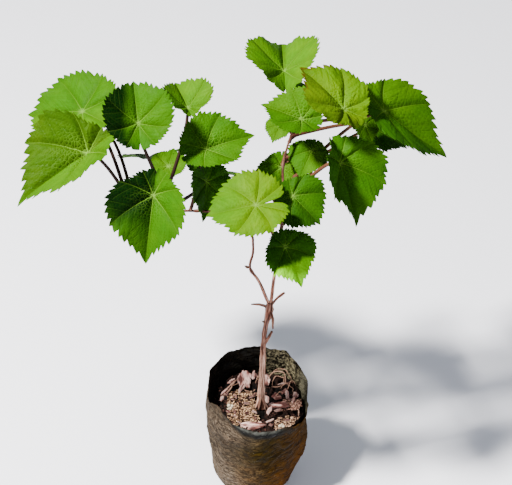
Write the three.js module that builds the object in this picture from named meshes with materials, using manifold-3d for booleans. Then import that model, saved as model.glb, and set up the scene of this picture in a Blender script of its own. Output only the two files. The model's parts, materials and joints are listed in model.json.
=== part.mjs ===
// A young grapevine: a rooted woody cutting in a black film nursery bag, with two leafy shoots.
// Millimetres, +Z up. The origin is the centre of the bag's flat underside, and -Y is the front.
import * as THREE from 'three';
import { mergeVertices } from 'three/addons/utils/BufferGeometryUtils.js';
import Module from 'manifold-3d';

const wasm = await Module();
wasm.setup();

// Driving dimensions
const GAP = 0.3;
const BAG_SIDES = 30;
const BAG_FLOOR = 1.4;
const FILM = 1.3;
// Outer radius of the filled bag at each height
const BAG_HEIGHTS = [0, 4, 12, 24, 40, 60, 79];
const BAG_RADII = [36, 41, 44, 46.3, 48, 49.3, 50];
const LIP_RADIUS = 51;
// Height of the torn lip every 30 degrees, from the right-hand side round by the back
const LIP_HEIGHTS = [93, 119, 127, 129, 127, 119, 103, 110, 100, 97, 94, 88];
const CREASE_DEPTH = 0.9;
// The film is drawn in at the foot on the right: how far, and below what height
const FOOT_DRAW = 8;
const FOOT_DRAW_TOP = 45;
const SOIL_CLEARANCE = 1.3;
const SOIL_LEVEL = 90;
const SOIL_RISE_AT_BACK = 7;
const SOIL_DIP_AT_LEFT = 6;
const SOIL_LUMP = 1.6;
// Rings of the mix's top, in shares of the way from the trunk to the film
const SOIL_RINGS = [0.96, 0.84, 0.68, 0.5, 0.34, 0.19];
const FLAKE_CORNERS = 9;
const FLAKE_THICKNESS = 3;
const TRUNK_FOOT = [4, -3];
const TRUNK_SEAT_RADIUS = 9;
const LIMB_SIDES = 7;
const LIMB_LUMP = 0.05;
const PETIOLE_SIDES = 5;
const PETIOLE_STEPS = 3;
const PETIOLE_RADIUS = 1.5;
// A tangent with more upright than this counts as upright
const STEEP = 0.9;
const LEAF_THICKNESS = 1.1;
// Rings of a leaf blade: share of the way from hub to edge, and corners in the ring
const LEAF_RINGS = [{ share: 0.45, count: 8 }, { share: 0.76, count: 16 }, { share: 1, count: 32 }];
const TOOTH_DEPTH = 0.1;
// Wave of a blade and droop of its tip, in leaf widths
const WAVE = 0.14;
const DROOP = 0.12;
// Where a stalk comes up to its blade from, in shares of its span
const APPROACH_BEHIND = 0.16;
const APPROACH_BELOW = 0.2;
// A mass's stem: its radii, and the shares of its length where the leaves spring from it
const STEM_RADII = [1.9, 1.5];
const LAST_LEAF = 0.93;
const LEAF_SPREAD = 0.3;
// Slivers shorter than this, left where stalks and blades join, are merged away
const SEAM_TOLERANCE = 0.08;

// Seeds of the repeatable variation
const FLAKE_SEED = 40;
const FLAKE_SEED_STEP = 13;
const MASS_SEED_STEP = 10;

// Repeatable variation between 0 and 1
function chance(seed) {
  const wave = Math.sin(seed * 127.1 + 311.7) * 43758.5453;
  return wave - Math.floor(wave);
}

const radians = THREE.MathUtils.degToRad;

function point(x, y, z) {
  return new THREE.Vector3(x, y, z);
}

// Value between evenly spaced entries of a list that closes on itself
function around(list, turn) {
  const place = ((turn % 1) + 1) % 1 * list.length;
  const index = Math.floor(place);
  const part = place - index;
  const ease = part * part * (3 - 2 * part);
  return THREE.MathUtils.lerp(list[index % list.length], list[(index + 1) % list.length], ease);
}

// Value at a place between named stations
function along(stations, values, place) {
  let index = 0;
  while (index < stations.length - 2 && place > stations[index + 1]) {
    index += 1;
  }
  const span = stations[index + 1] - stations[index];
  const part = THREE.MathUtils.clamp((place - stations[index]) / span, 0, 1);
  return THREE.MathUtils.lerp(values[index], values[index + 1], part);
}

// Closed skin through rings of points that each run anticlockwise, where the first and last are poles
function ringSkin(rings) {
  const positions = [];
  const starts = [];
  for (const ring of rings) {
    starts.push(positions.length / 3);
    for (const corner of ring) {
      positions.push(corner.x, corner.y, corner.z);
    }
  }
  const faces = [];
  for (let row = 0; row < rings.length - 1; row += 1) {
    const below = rings[row].length;
    const above = rings[row + 1].length;
    let i = 0;
    let j = 0;
    while (i < below || j < above) {
      const lower = starts[row] + (i % below);
      const upper = starts[row + 1] + (j % above);
      const stepBelow = j >= above || above === 1 || (below > 1 && (i + 1) / below <= (j + 1) / above);
      if (stepBelow && i < below && below > 1) {
        faces.push(lower, starts[row] + ((i + 1) % below), upper);
        i += 1;
      } else if (j < above && above > 1) {
        faces.push(lower, starts[row + 1] + ((j + 1) % above), upper);
        j += 1;
      } else {
        break;
      }
    }
  }
  const geometry = new THREE.BufferGeometry();
  geometry.setAttribute('position', new THREE.Float32BufferAttribute(positions, 3));
  geometry.setIndex(faces);
  return geometry;
}

function solidOf(geometry) {
  const bare = geometry.clone();
  bare.deleteAttribute('normal');
  bare.deleteAttribute('uv');
  const merged = mergeVertices(bare, 1e-4);
  return new wasm.Manifold(new wasm.Mesh({
    numProp: 3,
    vertProperties: new Float32Array(merged.attributes.position.array),
    triVerts: new Uint32Array(merged.index.array),
  }));
}

function geometryOf(solid) {
  const mesh = solid.getMesh();
  const geometry = new THREE.BufferGeometry();
  geometry.setAttribute('position', new THREE.BufferAttribute(new Float32Array(mesh.vertProperties), 3));
  geometry.setIndex(new THREE.BufferAttribute(new Uint32Array(mesh.triVerts), 1));
  return geometry;
}

// The largest body of a solid, so that a loose scrap left by a cut is dropped
function largest(solid) {
  let best = null;
  for (const body of solid.decompose()) {
    if (best === null || body.volume() > best.volume()) {
      best = body;
    }
  }
  return best;
}

// The bag
function lipHeight(turn) {
  return around(LIP_HEIGHTS, turn);
}

function creases(angle, height) {
  const sway = Math.sin(angle * 5 + height * 0.045) + 0.6 * Math.sin(angle * 9 - height * 0.07 + 1.3);
  const toward = Math.max(0, Math.cos(angle)) ** 2;
  const drawn = FOOT_DRAW * toward * (1 - THREE.MathUtils.smoothstep(height, 0, FOOT_DRAW_TOP));
  return CREASE_DEPTH * sway * THREE.MathUtils.smoothstep(height, 6, 40) - drawn;
}

function bagRadius(angle, height) {
  const level = BAG_HEIGHTS[BAG_HEIGHTS.length - 1];
  if (height <= level) {
    return along(BAG_HEIGHTS, BAG_RADII, height) + creases(angle, height);
  }
  const part = (height - level) / (Math.max(...LIP_HEIGHTS) - level);
  return THREE.MathUtils.lerp(BAG_RADII[BAG_RADII.length - 1], LIP_RADIUS, part) + creases(angle, height);
}

// Heights of the bag's rings: fixed ones up the filled part, and the rest shared out up to the lip
function bagRow(row, turn) {
  if (row < BAG_HEIGHTS.length) {
    return BAG_HEIGHTS[row];
  }
  const top = BAG_HEIGHTS[BAG_HEIGHTS.length - 1];
  return row === BAG_HEIGHTS.length ? (top + lipHeight(turn)) / 2 : lipHeight(turn);
}

function bagRing(row, inset, lowest) {
  const ring = [];
  for (let side = 0; side < BAG_SIDES; side += 1) {
    const turn = side / BAG_SIDES;
    const angle = turn * 2 * Math.PI;
    const height = Math.max(bagRow(row, turn), lowest);
    const radius = bagRadius(angle, bagRow(row, turn)) - inset;
    ring.push(point(radius * Math.cos(angle), radius * Math.sin(angle), height));
  }
  return ring;
}

function bagGeometry() {
  const rows = BAG_HEIGHTS.length + 2;
  const rings = [[point(0, 0, 0)]];
  for (let row = 0; row < rows; row += 1) {
    rings.push(bagRing(row, 0, 0));
  }
  for (let row = rows - 1; row >= 0; row -= 1) {
    rings.push(bagRing(row, FILM, BAG_FLOOR));
  }
  rings.push([point(0, 0, BAG_FLOOR)]);
  return ringSkin(rings);
}

// The potting mix
function soilHeight(x, y) {
  const back = SOIL_RISE_AT_BACK * THREE.MathUtils.smoothstep(y, -5, 45);
  const sunkLeft = THREE.MathUtils.smoothstep(-x, 24, 46) * THREE.MathUtils.smoothstep(30 - y, 0, 20);
  const swell = Math.sin(x * 0.31 + 1) * Math.cos(y * 0.27);
  const ripple = 0.5 * Math.sin(x * 0.55 - y * 0.4);
  const seat = Math.hypot(x - TRUNK_FOOT[0], y - TRUNK_FOOT[1]);
  const clear = THREE.MathUtils.smoothstep(seat, TRUNK_SEAT_RADIUS, TRUNK_SEAT_RADIUS * 2);
  return SOIL_LEVEL + clear * (back - SOIL_DIP_AT_LEFT * sunkLeft + SOIL_LUMP * (swell + ripple));
}

function soilGeometry(lift) {
  const inset = FILM + SOIL_CLEARANCE;
  const rings = [[point(0, 0, BAG_FLOOR + GAP)]];
  for (let row = 0; row < BAG_HEIGHTS.length; row += 1) {
    rings.push(bagRing(row, inset, BAG_FLOOR + GAP + row / 2));
  }
  const outer = rings[rings.length - 1];
  const middle = point(TRUNK_FOOT[0], TRUNK_FOOT[1], 0);
  for (const share of SOIL_RINGS) {
    rings.push(outer.map((corner) => {
      const spot = middle.clone().lerp(point(corner.x, corner.y, 0), share);
      return point(spot.x, spot.y, soilHeight(spot.x, spot.y) + lift);
    }));
  }
  rings.push([point(middle.x, middle.y, soilHeight(middle.x, middle.y) + lift)]);
  return ringSkin(rings);
}

// A flake of bark: a curved plate with an uneven outline
function flakeGeometry(flake, seed) {
  const [length, width] = flake.size;
  const [roll, tilt, turn] = flake.turned;
  const half = FLAKE_THICKNESS / 2;
  const lower = [];
  const upper = [];
  for (let corner = 0; corner < FLAKE_CORNERS; corner += 1) {
    const angle = corner / FLAKE_CORNERS * 2 * Math.PI;
    const reach = THREE.MathUtils.lerp(0.4, 0.6, chance(seed + corner));
    const x = length * reach * Math.cos(angle);
    const y = width * reach * Math.sin(angle);
    const bend = flake.curl * y * y / width;
    lower.push(point(x, y, bend - half));
    upper.push(point(x, y, bend + half));
  }
  const skin = ringSkin([[point(0, 0, -half)], lower, upper, [point(0, 0, half)]]);
  skin.rotateX(radians(roll));
  skin.rotateY(radians(tilt));
  skin.rotateZ(radians(turn));
  const [x, y] = flake.at;
  skin.translate(x, y, soilHeight(x, y) + flake.lift);
  return skin;
}

// Bark flakes on the mix: place, height of the middle over the mix, length and width, and turn about X, Y, Z
const FLAKES = {
  bark_flake_back_left: { at: [-15, 33], lift: 4, size: [25, 16], curl: 0.1, turned: [24, 8, 70] },
  bark_flake_left: { at: [-33, 19], lift: 3, size: [22, 7], curl: 0, turned: [0, -10, 50] },
  bark_flake_front: { at: [-3, -34], lift: 1.5, size: [27, 13], curl: -0.1, turned: [-8, 4, 4] },
  bark_flake_right: { at: [23, -6], lift: 2.5, size: [23, 12], curl: 0.12, turned: [16, -5, -8] },
  bark_flake_far_right: { at: [37, 10], lift: 3, size: [15, 8], curl: 0, turned: [30, -20, 60] },
  bark_flake_behind_stem: { at: [7, 33], lift: 4, size: [20, 12], curl: 0.1, turned: [26, 6, -60] },
  bark_curl_back: { at: [27, 26], lift: 4, size: [22, 6], curl: 0, turned: [0, 8, 26] },
};

// A tapering limb along a smooth line through its points
function limbCurve(points) {
  return new THREE.CatmullRomCurve3(points.map((place) => point(...place)), false, 'centripetal');
}

function tubeGeometry(curve, radiusAt, sides, steps) {
  const rings = [];
  const tangent = curve.getTangentAt(0);
  let normal = Math.abs(tangent.z) > STEEP ? point(1, 0, 0) : point(0, 0, 1);
  for (let step = 0; step <= steps; step += 1) {
    const share = step / steps;
    const centre = curve.getPointAt(share);
    const heading = curve.getTangentAt(share);
    normal = normal.clone().addScaledVector(heading, -normal.dot(heading)).normalize();
    const other = heading.clone().cross(normal);
    const ring = [];
    for (let corner = 0; corner < sides; corner += 1) {
      const angle = corner / sides * 2 * Math.PI;
      const reach = radiusAt(share, angle);
      ring.push(centre.clone()
        .addScaledVector(normal, reach * Math.cos(angle))
        .addScaledVector(other, reach * Math.sin(angle)));
    }
    if (step === 0) {
      rings.push([centre.clone()]);
    }
    rings.push(ring);
    if (step === steps) {
      rings.push([centre.clone()]);
    }
  }
  return ringSkin(rings);
}

// Limbs of the vine, each with its line, its radii at stations along it, and the limb it springs from
const LIMBS = {
  trunk: {
    line: [
      [...TRUNK_FOOT, SOIL_LEVEL + GAP], [4.6, -3, 119], [5.5, -3, 149], [6, -3, 173], [8.6, -2.4, 195],
      [12, -2, 215], [13, -2, 225],
    ],
    stations: [0, 0.05, 0.3, 0.6, 0.64, 0.8, 0.9, 0.94, 1],
    radii: [5, 3.9, 3.3, 3, 2.5, 2.4, 4.2, 4.8, 3],
    steps: 22,
  },
  lower_spur: {
    line: [[6, -3, 171], [10, -4.6, 180], [15, -6, 192]],
    stations: [0, 0.7, 1], radii: [1.9, 1.5, 1.1], steps: 6, from: ['trunk'],
  },
  left_stub: {
    line: [[11, -2, 219], [3, -3, 223], [-6, -4, 224]],
    stations: [0, 0.6, 1], radii: [1.9, 1.2, 0.6], steps: 6, from: ['trunk'],
  },
  right_stub: {
    line: [[13, -2, 221], [20, -4, 232], [27, -6, 240]],
    stations: [0, 0.5, 0.85, 1], radii: [1.6, 1.2, 1.6, 1.2], steps: 6, from: ['trunk', 'right_shoot_lower'],
  },
  hanging_stub: {
    line: [[13, -4, 216], [15.4, -7.5, 209], [16, -8.6, 197]],
    stations: [0, 0.5, 1], radii: [1.7, 1.4, 0.9], steps: 6, from: ['trunk'],
  },
  left_shoot_lower: {
    line: [[12, -2, 222], [1, -5, 255], [-7, -8, 272], [-4, -7, 289], [-4, -5, 305]],
    stations: [0, 0.5, 0.56, 0.62, 1], radii: [2.1, 1.7, 2.3, 1.6, 1.5], steps: 14, from: ['trunk'],
  },
  left_shoot_upper: {
    line: [[-4, -5, 305.4], [-12, 2, 319], [-36, 8, 326], [-65, 12, 326], [-89, 14, 323], [-108, 14, 322]],
    stations: [0, 0.54, 0.57, 0.6, 0.78, 0.81, 0.84, 1],
    radii: [1.5, 1.5, 2.2, 1.5, 1.5, 2.1, 1.5, 1.4],
    steps: 18, from: ['left_shoot_lower'],
  },
  right_shoot_lower: {
    line: [[13.5, -2, 223], [17, -2, 258], [21, 0, 294], [27, 8, 341]],
    stations: [0, 0.55, 0.59, 0.63, 1], radii: [2.2, 1.8, 2.4, 1.7, 1.6], steps: 14,
    from: ['trunk', 'left_shoot_lower'],
  },
  right_shoot_upper: {
    line: [[27, 8, 341.4], [25, 24, 371], [34, 40, 401]],
    stations: [0, 0.45, 0.5, 0.55, 1], radii: [1.6, 1.4, 2, 1.4, 1.4], steps: 10, from: ['right_shoot_lower'],
  },
};

function limbGeometry(limb, swell) {
  const lumps = (share, angle) => 1 + LIMB_LUMP * Math.sin(3 * angle + share * 23);
  const radiusAt = (share, angle) => along(limb.stations, limb.radii, share) * lumps(share, angle) + swell;
  return tubeGeometry(limbCurve(limb.line), radiusAt, LIMB_SIDES, limb.steps);
}

// The limb with a collar of clear space round it, for cutting what meets it
const collars = new Map();

function collar(name) {
  if (!collars.has(name)) {
    collars.set(name, solidOf(limbGeometry(LIMBS[name], GAP)));
  }
  return collars.get(name);
}

function clearOf(solid, names) {
  let rest = solid;
  for (const name of names) {
    rest = rest.subtract(collar(name));
  }
  return largest(rest);
}

// Leaf outline: reach from the hub, in leaf widths, at angles from the tip round to the notch,
// where the last two reaches are the leaf's own: most notches are nearly closed
const OUTLINE_ANGLES = [0, 12, 32, 52, 72, 92, 118, 142, 160, 171, 180];
const OUTLINE_REACH = [0.68, 0.585, 0.54, 0.545, 0.52, 0.5, 0.47, 0.45, 0.42];
const CLOSED_NOTCH = [0.4, 0.3];
const OPEN_NOTCH = [0.32, 0.08];

function outlineReach(angle, leaf) {
  const turn = Math.atan2(Math.sin(angle), Math.cos(angle));
  const away = Math.abs(THREE.MathUtils.radToDeg(turn));
  const lobe = THREE.MathUtils.lerp(1, leaf.lobes[turn > 0 ? 0 : 1], THREE.MathUtils.smoothstep(away, 70, 130));
  const tip = THREE.MathUtils.lerp(leaf.tip, 1, THREE.MathUtils.smoothstep(away, 0, 18));
  return lobe * tip * along(OUTLINE_ANGLES, [...OUTLINE_REACH, ...leaf.notch], away);
}

// A leaf's own directions: tip, side and upper face
function leafFrame(leaf) {
  const heading = radians(leaf.heading);
  const pitch = radians(leaf.pitch);
  const roll = radians(leaf.roll);
  const ahead = point(Math.cos(heading), Math.sin(heading), 0);
  const tip = ahead.clone().multiplyScalar(Math.cos(pitch)).add(point(0, 0, Math.sin(pitch)));
  const level = point(-ahead.y, ahead.x, 0);
  const upright = tip.clone().cross(level);
  const face = upright.clone().multiplyScalar(Math.cos(roll)).addScaledVector(level, Math.sin(roll));
  const side = face.clone().cross(tip);
  return { hub: point(...leaf.hub), tip, side, face };
}

// Where a spot of the flat leaf goes once it is folded, drooped and waved
function leafSpot(leaf, frame, x, y, seed) {
  const width = leaf.width;
  const fold = radians(leaf.fold);
  const reach = Math.hypot(x, y) / width;
  const angle = Math.atan2(y, x);
  const wave = WAVE * width * reach * reach * Math.sin(3 * angle + 6 * chance(seed));
  const droop = leaf.droop * Math.max(x, 0) ** 2 / width;
  const ruffle = wave * Math.min(1, Math.abs(angle));
  const height = Math.abs(y) * Math.sin(fold) - droop + ruffle;
  return frame.hub.clone()
    .addScaledVector(frame.tip, x * leaf.stretch)
    .addScaledVector(frame.side, y * Math.cos(fold))
    .addScaledVector(frame.face, height);
}

function leafGeometry(leaf, seed) {
  const frame = leafFrame(leaf);
  const rings = [];
  const ringAt = (layer, offset) => {
    const ring = [];
    for (let corner = 0; corner < layer.count; corner += 1) {
      const angle = corner / layer.count * 2 * Math.PI;
      const notch = layer.share === 1 && corner % 2 === 1 ? 1 - TOOTH_DEPTH : 1;
      const reach = outlineReach(angle, leaf) * leaf.width * layer.share * notch;
      const spot = leafSpot(leaf, frame, reach * Math.cos(angle), reach * Math.sin(angle), seed);
      ring.push(spot.addScaledVector(frame.face, offset));
    }
    return ring;
  };
  const half = LEAF_THICKNESS / 2;
  rings.push([leafSpot(leaf, frame, 0, 0, seed).addScaledVector(frame.face, -half)]);
  for (const layer of LEAF_RINGS) {
    rings.push(ringAt(layer, -half));
  }
  for (const layer of [...LEAF_RINGS].reverse()) {
    rings.push(ringAt(layer, half));
  }
  rings.push([leafSpot(leaf, frame, 0, 0, seed).addScaledVector(frame.face, half)]);
  return ringSkin(rings);
}

// The leaf stalk runs from the mass's stem and comes up to the hub from behind and below
function petioleGeometry(leaf, root) {
  const frame = leafFrame(leaf);
  const span = frame.hub.distanceTo(root);
  const approach = frame.hub.clone()
    .addScaledVector(frame.tip, -APPROACH_BEHIND * span)
    .addScaledVector(frame.face, -APPROACH_BELOW * span);
  const curve = new THREE.QuadraticBezierCurve3(root, approach, frame.hub);
  const radiusAt = (share) => PETIOLE_RADIUS * THREE.MathUtils.lerp(1.15, 0.85, share);
  return tubeGeometry(curve, radiusAt, PETIOLE_SIDES, PETIOLE_STEPS);
}

// A leaf by its hub, blade width, and the heading and rise of its tip, with the shape that most leaves share.
// The tip and the lobes are the sizes of its tip and of its left and right hind lobes.
function leafOf(hub, width, heading, pitch, shape = {}) {
  const common = { roll: 0, fold: 8, stretch: 1, tip: 1, lobes: [1, 1], notch: CLOSED_NOTCH, droop: DROOP };
  return { hub, width, heading, pitch, ...common, ...shape };
}

// Leaf masses: the limb each springs from, its one stem, and its leaves
const MASSES = {
  leaves_left_tip: {
    from: ['left_shoot_upper'],
    stem: [[-107, 14, 322], [-118, 18, 328], [-128, 24, 333]],
    leaves: [
      leafOf([-172, 94, 388], 88, 156, -16, { roll: 30, fold: 6, stretch: 1.22, tip: 0.92 }),
      leafOf([-163, 20, 389], 112, 204, -27, { roll: 10, fold: 34, stretch: 1.11, lobes: [0.9, 0.56] }),
      leafOf([-146, 112, 347], 74, 125, -28),
    ],
  },
  leaves_left_upright: {
    from: ['left_shoot_upper'],
    stem: [[-89, 14, 323], [-90, 20, 331], [-90, 26, 341]],
    leaves: [
      leafOf([-113, 16, 425], 79, 99, 44, { fold: 26, stretch: 0.92, tip: 0.84, lobes: [0.9, 0.9] }),
      leafOf([-68, 92, 393], 66, 112, 22, { roll: -5, fold: 32, stretch: 0.88, tip: 0.9, lobes: [0.5, 0.5] }),
    ],
  },
  leaves_left_rear: {
    from: ['left_shoot_upper'],
    stem: [[-76, 13, 325], [-76, 24, 325], [-78, 36, 326]],
    leaves: [
      leafOf([-88, 80, 332], 38, 78, 15, { fold: 10 }),
      leafOf([-105, 112, 321], 72, 100, -30),
      leafOf([-45, 95, 314], 66, 70, -30),
    ],
  },
  leaves_left_front: {
    from: ['left_shoot_upper'],
    stem: [[-96, 14, 322.5], [-97, 4, 326], [-97, -6, 333]],
    leaves: [
      leafOf([-98, -35, 377], 101, 257, -55, { fold: 34, stretch: 0.95, lobes: [0.66, 0.64] }),
    ],
  },
  leaves_left_inner: {
    from: ['left_shoot_upper'],
    stem: [[-65, 12, 326], [-62, 15, 335], [-60, 17, 343]],
    leaves: [
      leafOf([-49, 26, 389], 75, 14, 12, { roll: -22, fold: 24, stretch: 0.96, lobes: [0.86, 0.86] }),
      leafOf([-49, 28, 349], 58, 268, -58, { roll: 50, fold: 10 }),
    ],
  },
  leaves_centre_front: {
    from: ['right_shoot_lower'],
    stem: [[20.5, -0.5, 289], [20, -9, 295], [18, -16, 303]],
    leaves: [
      leafOf([-1, -40, 370], 78, 190, -5, { roll: 18, fold: 4, tip: 0.92, notch: OPEN_NOTCH }),
      leafOf([27, -45, 324], 61, 307, -47, { lobes: [0.72, 0.72] }),
    ],
  },
  leaves_centre: {
    from: ['right_shoot_lower'],
    stem: [[24.5, 5, 324], [30, -1, 329], [35, -6, 335]],
    leaves: [
      leafOf([34, -19, 365], 62, 330, -35, { roll: -25, tip: 0.9, lobes: [0.66, 0.66] }),
    ],
  },
  leaves_centre_rear: {
    from: ['right_shoot_lower'],
    stem: [[22.5, 2, 305], [24, 12, 307], [26, 22, 311]],
    leaves: [
      leafOf([10, 90, 309], 68, 100, -30),
      leafOf([60, 90, 335], 66, 70, -30),
    ],
  },
  leaves_right_front: {
    from: ['right_shoot_upper'],
    stem: [[27, 9, 345], [34, 9, 351], [42, 8, 357]],
    leaves: [
      leafOf([79, -4, 393], 95, 297, -51, { roll: 18, fold: 30, stretch: 0.97, lobes: [0.7, 0.7] }),
    ],
  },
  leaves_right_tip: {
    from: ['right_shoot_upper'],
    stem: [[26, 14, 354], [34, 19, 358], [42, 24, 363]],
    leaves: [
      leafOf([122, 46, 419], 84, 0, -39, { roll: -18, fold: 16, stretch: 1.45, lobes: [0.68, 0.68] }),
      leafOf([114, 90, 371], 60, -10, -25, { roll: -10 }),
    ],
  },
  leaves_crown_middle: {
    from: ['right_shoot_upper'],
    stem: [[25, 24, 371], [26, 34, 371], [28, 44, 370]],
    leaves: [
      leafOf([24, 42, 357], 54, 270, -50, { lobes: [0.7, 0.7] }),
      leafOf([53, 34, 382], 46, 240, -35, { lobes: [0.62, 0.62] }),
    ],
  },
  leaves_crown_top: {
    from: ['right_shoot_upper'],
    stem: [[34, 40, 401], [37, 43, 405], [40, 46, 409]],
    leaves: [
      leafOf([82, 15.5, 441.4], 80, 146, 33, { fold: 14, stretch: 1.13, tip: 0.94, lobes: [0.62, 0.62] }),
      leafOf([42, 20, 427], 62, 160, 12, { roll: 25, fold: 30, lobes: [0.8, 0.8] }),
      leafOf([26, 86, 440], 92, 92, 4, { roll: 4, fold: 36, stretch: 0.94, droop: 0.27 }),
    ],
  },
  leaves_crown_rear: {
    from: ['right_shoot_upper'],
    stem: [[31, 35, 391], [33, 45, 389], [36, 54, 387]],
    leaves: [
      leafOf([23, 60, 394], 30, 240, -30),
      leafOf([105, 66, 390], 28, 300, -40),
      leafOf([68, 118, 392], 74, 75, -28),
      leafOf([49, 116, 382], 62, 105, -32),
    ],
  },
};

function massGeometry(mass, seed) {
  const curve = limbCurve(mass.stem);
  const stemRadius = (share) => THREE.MathUtils.lerp(...STEM_RADII, share);
  let solid = solidOf(tubeGeometry(curve, stemRadius, PETIOLE_SIDES, PETIOLE_STEPS));
  mass.leaves.forEach((leaf, index) => {
    const place = LAST_LEAF - LEAF_SPREAD * index / Math.max(1, mass.leaves.length - 1);
    const root = curve.getPointAt(place);
    solid = solid.add(solidOf(petioleGeometry(leaf, root)));
    solid = solid.add(solidOf(leafGeometry(leaf, seed + index)));
  });
  return geometryOf(clearOf(solid, mass.from).simplify(SEAM_TOLERANCE));
}

// Materials: colour and roughness of each
const FILM_FINISH = { color: 0x24241f, roughness: 0.55 };
const MIX_FINISH = { color: 0x2a1d14, roughness: 0.95 };
const FLAKE_FINISH = { color: 0xb08a74, roughness: 0.85 };
const STEM_FINISH = { color: 0x9a6a55, roughness: 0.8 };
const LEAF_FINISH = { color: 0x5f9a1c, roughness: 0.55 };

// The whole plant
const vine = new THREE.Group();

function addPiece(name, geometry, finish) {
  geometry.computeVertexNormals();
  const mesh = new THREE.Mesh(geometry, new THREE.MeshStandardMaterial({ ...finish, metalness: 0 }));
  mesh.name = name;
  vine.add(mesh);
}

addPiece('nursery_bag', bagGeometry(), FILM_FINISH);
addPiece('potting_mix', soilGeometry(0), MIX_FINISH);

const ground = solidOf(soilGeometry(GAP));
Object.entries(FLAKES).forEach(([name, flake], index) => {
  const flakeSolid = solidOf(flakeGeometry(flake, FLAKE_SEED + index * FLAKE_SEED_STEP)).subtract(ground);
  addPiece(name, geometryOf(largest(flakeSolid)), FLAKE_FINISH);
});

Object.entries(LIMBS).forEach(([name, limb]) => {
  const whole = solidOf(limbGeometry(limb, 0));
  addPiece(name, geometryOf(clearOf(whole, limb.from ?? [])), STEM_FINISH);
});

Object.entries(MASSES).forEach(([name, mass], index) => {
  addPiece(name, massGeometry(mass, index * MASS_SEED_STEP), LEAF_FINISH);
});

export default vine;
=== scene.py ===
"""Dresses the potted grapevine: toothed and veined leaves, barked stems, the film bag and its potting mix."""
import json
import math
import bpy
import numpy as np
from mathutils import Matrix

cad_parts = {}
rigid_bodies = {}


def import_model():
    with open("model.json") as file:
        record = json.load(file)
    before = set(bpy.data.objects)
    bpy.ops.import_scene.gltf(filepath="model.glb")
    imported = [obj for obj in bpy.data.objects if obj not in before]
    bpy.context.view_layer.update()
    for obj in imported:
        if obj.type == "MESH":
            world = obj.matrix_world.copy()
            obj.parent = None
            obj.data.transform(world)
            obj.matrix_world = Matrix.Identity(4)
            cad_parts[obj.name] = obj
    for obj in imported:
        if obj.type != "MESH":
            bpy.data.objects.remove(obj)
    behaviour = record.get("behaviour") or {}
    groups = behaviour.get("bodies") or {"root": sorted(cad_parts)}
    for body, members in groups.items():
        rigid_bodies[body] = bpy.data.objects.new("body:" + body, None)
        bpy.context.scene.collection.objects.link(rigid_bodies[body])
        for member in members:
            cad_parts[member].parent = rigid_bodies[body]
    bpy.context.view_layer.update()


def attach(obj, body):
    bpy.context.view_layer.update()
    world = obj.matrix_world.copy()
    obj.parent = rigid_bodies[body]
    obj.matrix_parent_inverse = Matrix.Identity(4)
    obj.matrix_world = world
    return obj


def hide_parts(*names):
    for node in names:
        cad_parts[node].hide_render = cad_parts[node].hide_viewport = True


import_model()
shown_objects = bpy.context.scene.collection.objects

# Shapes are worked out in millimetres, in the row frame, and put in metres when a mesh is made
MM = 0.001
# Millimetres to one unit of the grain and blade maps
MAP_UNIT = 10

# The bag's driving sizes, as in the solids
BAG_HEIGHTS = [0, 4, 12, 24, 40, 60, 79]
BAG_RADII = [36, 41, 44, 46.3, 48, 49.3, 50]
LIP_HEIGHTS = [93, 119, 127, 129, 127, 119, 103, 110, 100, 97, 94, 88]
LIP_TOP = 129
LIP_RADIUS = 51
CREASE_DEPTH = 0.9
FOOT_DRAW = 8
FOOT_DRAW_TOP = 45
FILM_ROOM = 1.3
SOIL_CLEARANCE = 1.3
SOIL_LEVEL = 90
SOIL_RISE_AT_BACK = 7
SOIL_DIP_AT_LEFT = 6
SOIL_LUMP = 1.6
TRUNK_FOOT = (4, -3)
TRUNK_SEAT_RADIUS = 9

# The film as it shows: its thickness, its detail, and the plan of the mouth at angles in degrees
FILM = 0.5
BAG_COLUMNS = 360
BAG_ROWS = 170
INNER_ROWS = 42
INNER_DEPTH = 34
BAG_FLOOR_RADII = [6, 14, 22, 28]
FILM_GRAIN_ROUND = 31
MOUTH_ANGLES = [0, 16, 31, 56, 75, 92, 108, 129, 161, 175, 185, 214, 232, 244, 258, 270, 284, 309, 339, 360]
MOUTH_RADII = [52, 52.5, 51, 53.5, 48, 50, 49.5, 54, 51.5, 51, 50, 46.5, 46.5, 49, 51, 52, 51, 51, 53, 52]
MOUTH_STARTS = 81
MOUTH_SET = 103
ROLL_RADIUS = 1.7
ROLL_STEPS = 7
# Creases in the film: droop of their lines at the front, their spacing, and a pinch by angle, width and depth
CREASE_DROOP = 9
CREASE_SPACING = 2.8
PINCH_ANGLE = 34
PINCH_WIDTH = 5
PINCH_DEPTH = 4.5

# Leaf blades
VEIN_ANGLES = [0, 56, 112, 152]
TEETH = [6, 7, 6]
LAST_TOOTH = 163
SINUS_ANGLES = [166, 169, 172, 174.5, 177, 178.8]
TOOTH_STEPS = [0, 0.14, 0.32, 0.52, 0.7, 0.82, 0.92]
TOOTH_NOTCH = 0.82
TOOTH_DEPTH = 0.075
TOOTH_JITTER = 0.3
OUTLINE_ANGLES = [0, 12, 32, 52, 72, 92, 118, 142, 160, 171, 180]
OUTLINE_REACH = [0.68, 0.585, 0.54, 0.545, 0.52, 0.5, 0.47, 0.45, 0.42]
CLOSED_NOTCH = [0.41, 0.31]
OPEN_NOTCH = [0.32, 0.08]
PLEAT = 1.9
VEIN_BEND = 8
SHARES = [0.03, 0.09, 0.17, 0.26, 0.35, 0.44, 0.53, 0.61, 0.69, 0.76, 0.82, 0.87, 0.91, 0.945, 0.975, 1]
BLADE = 0.35
WAVE = 0.14
DROOP = 0.12
SIDE_VEIN_SPACING = 0.088
SIDE_VEIN_SLANT = 0.9
VEINED_WIDTH = 90

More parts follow.
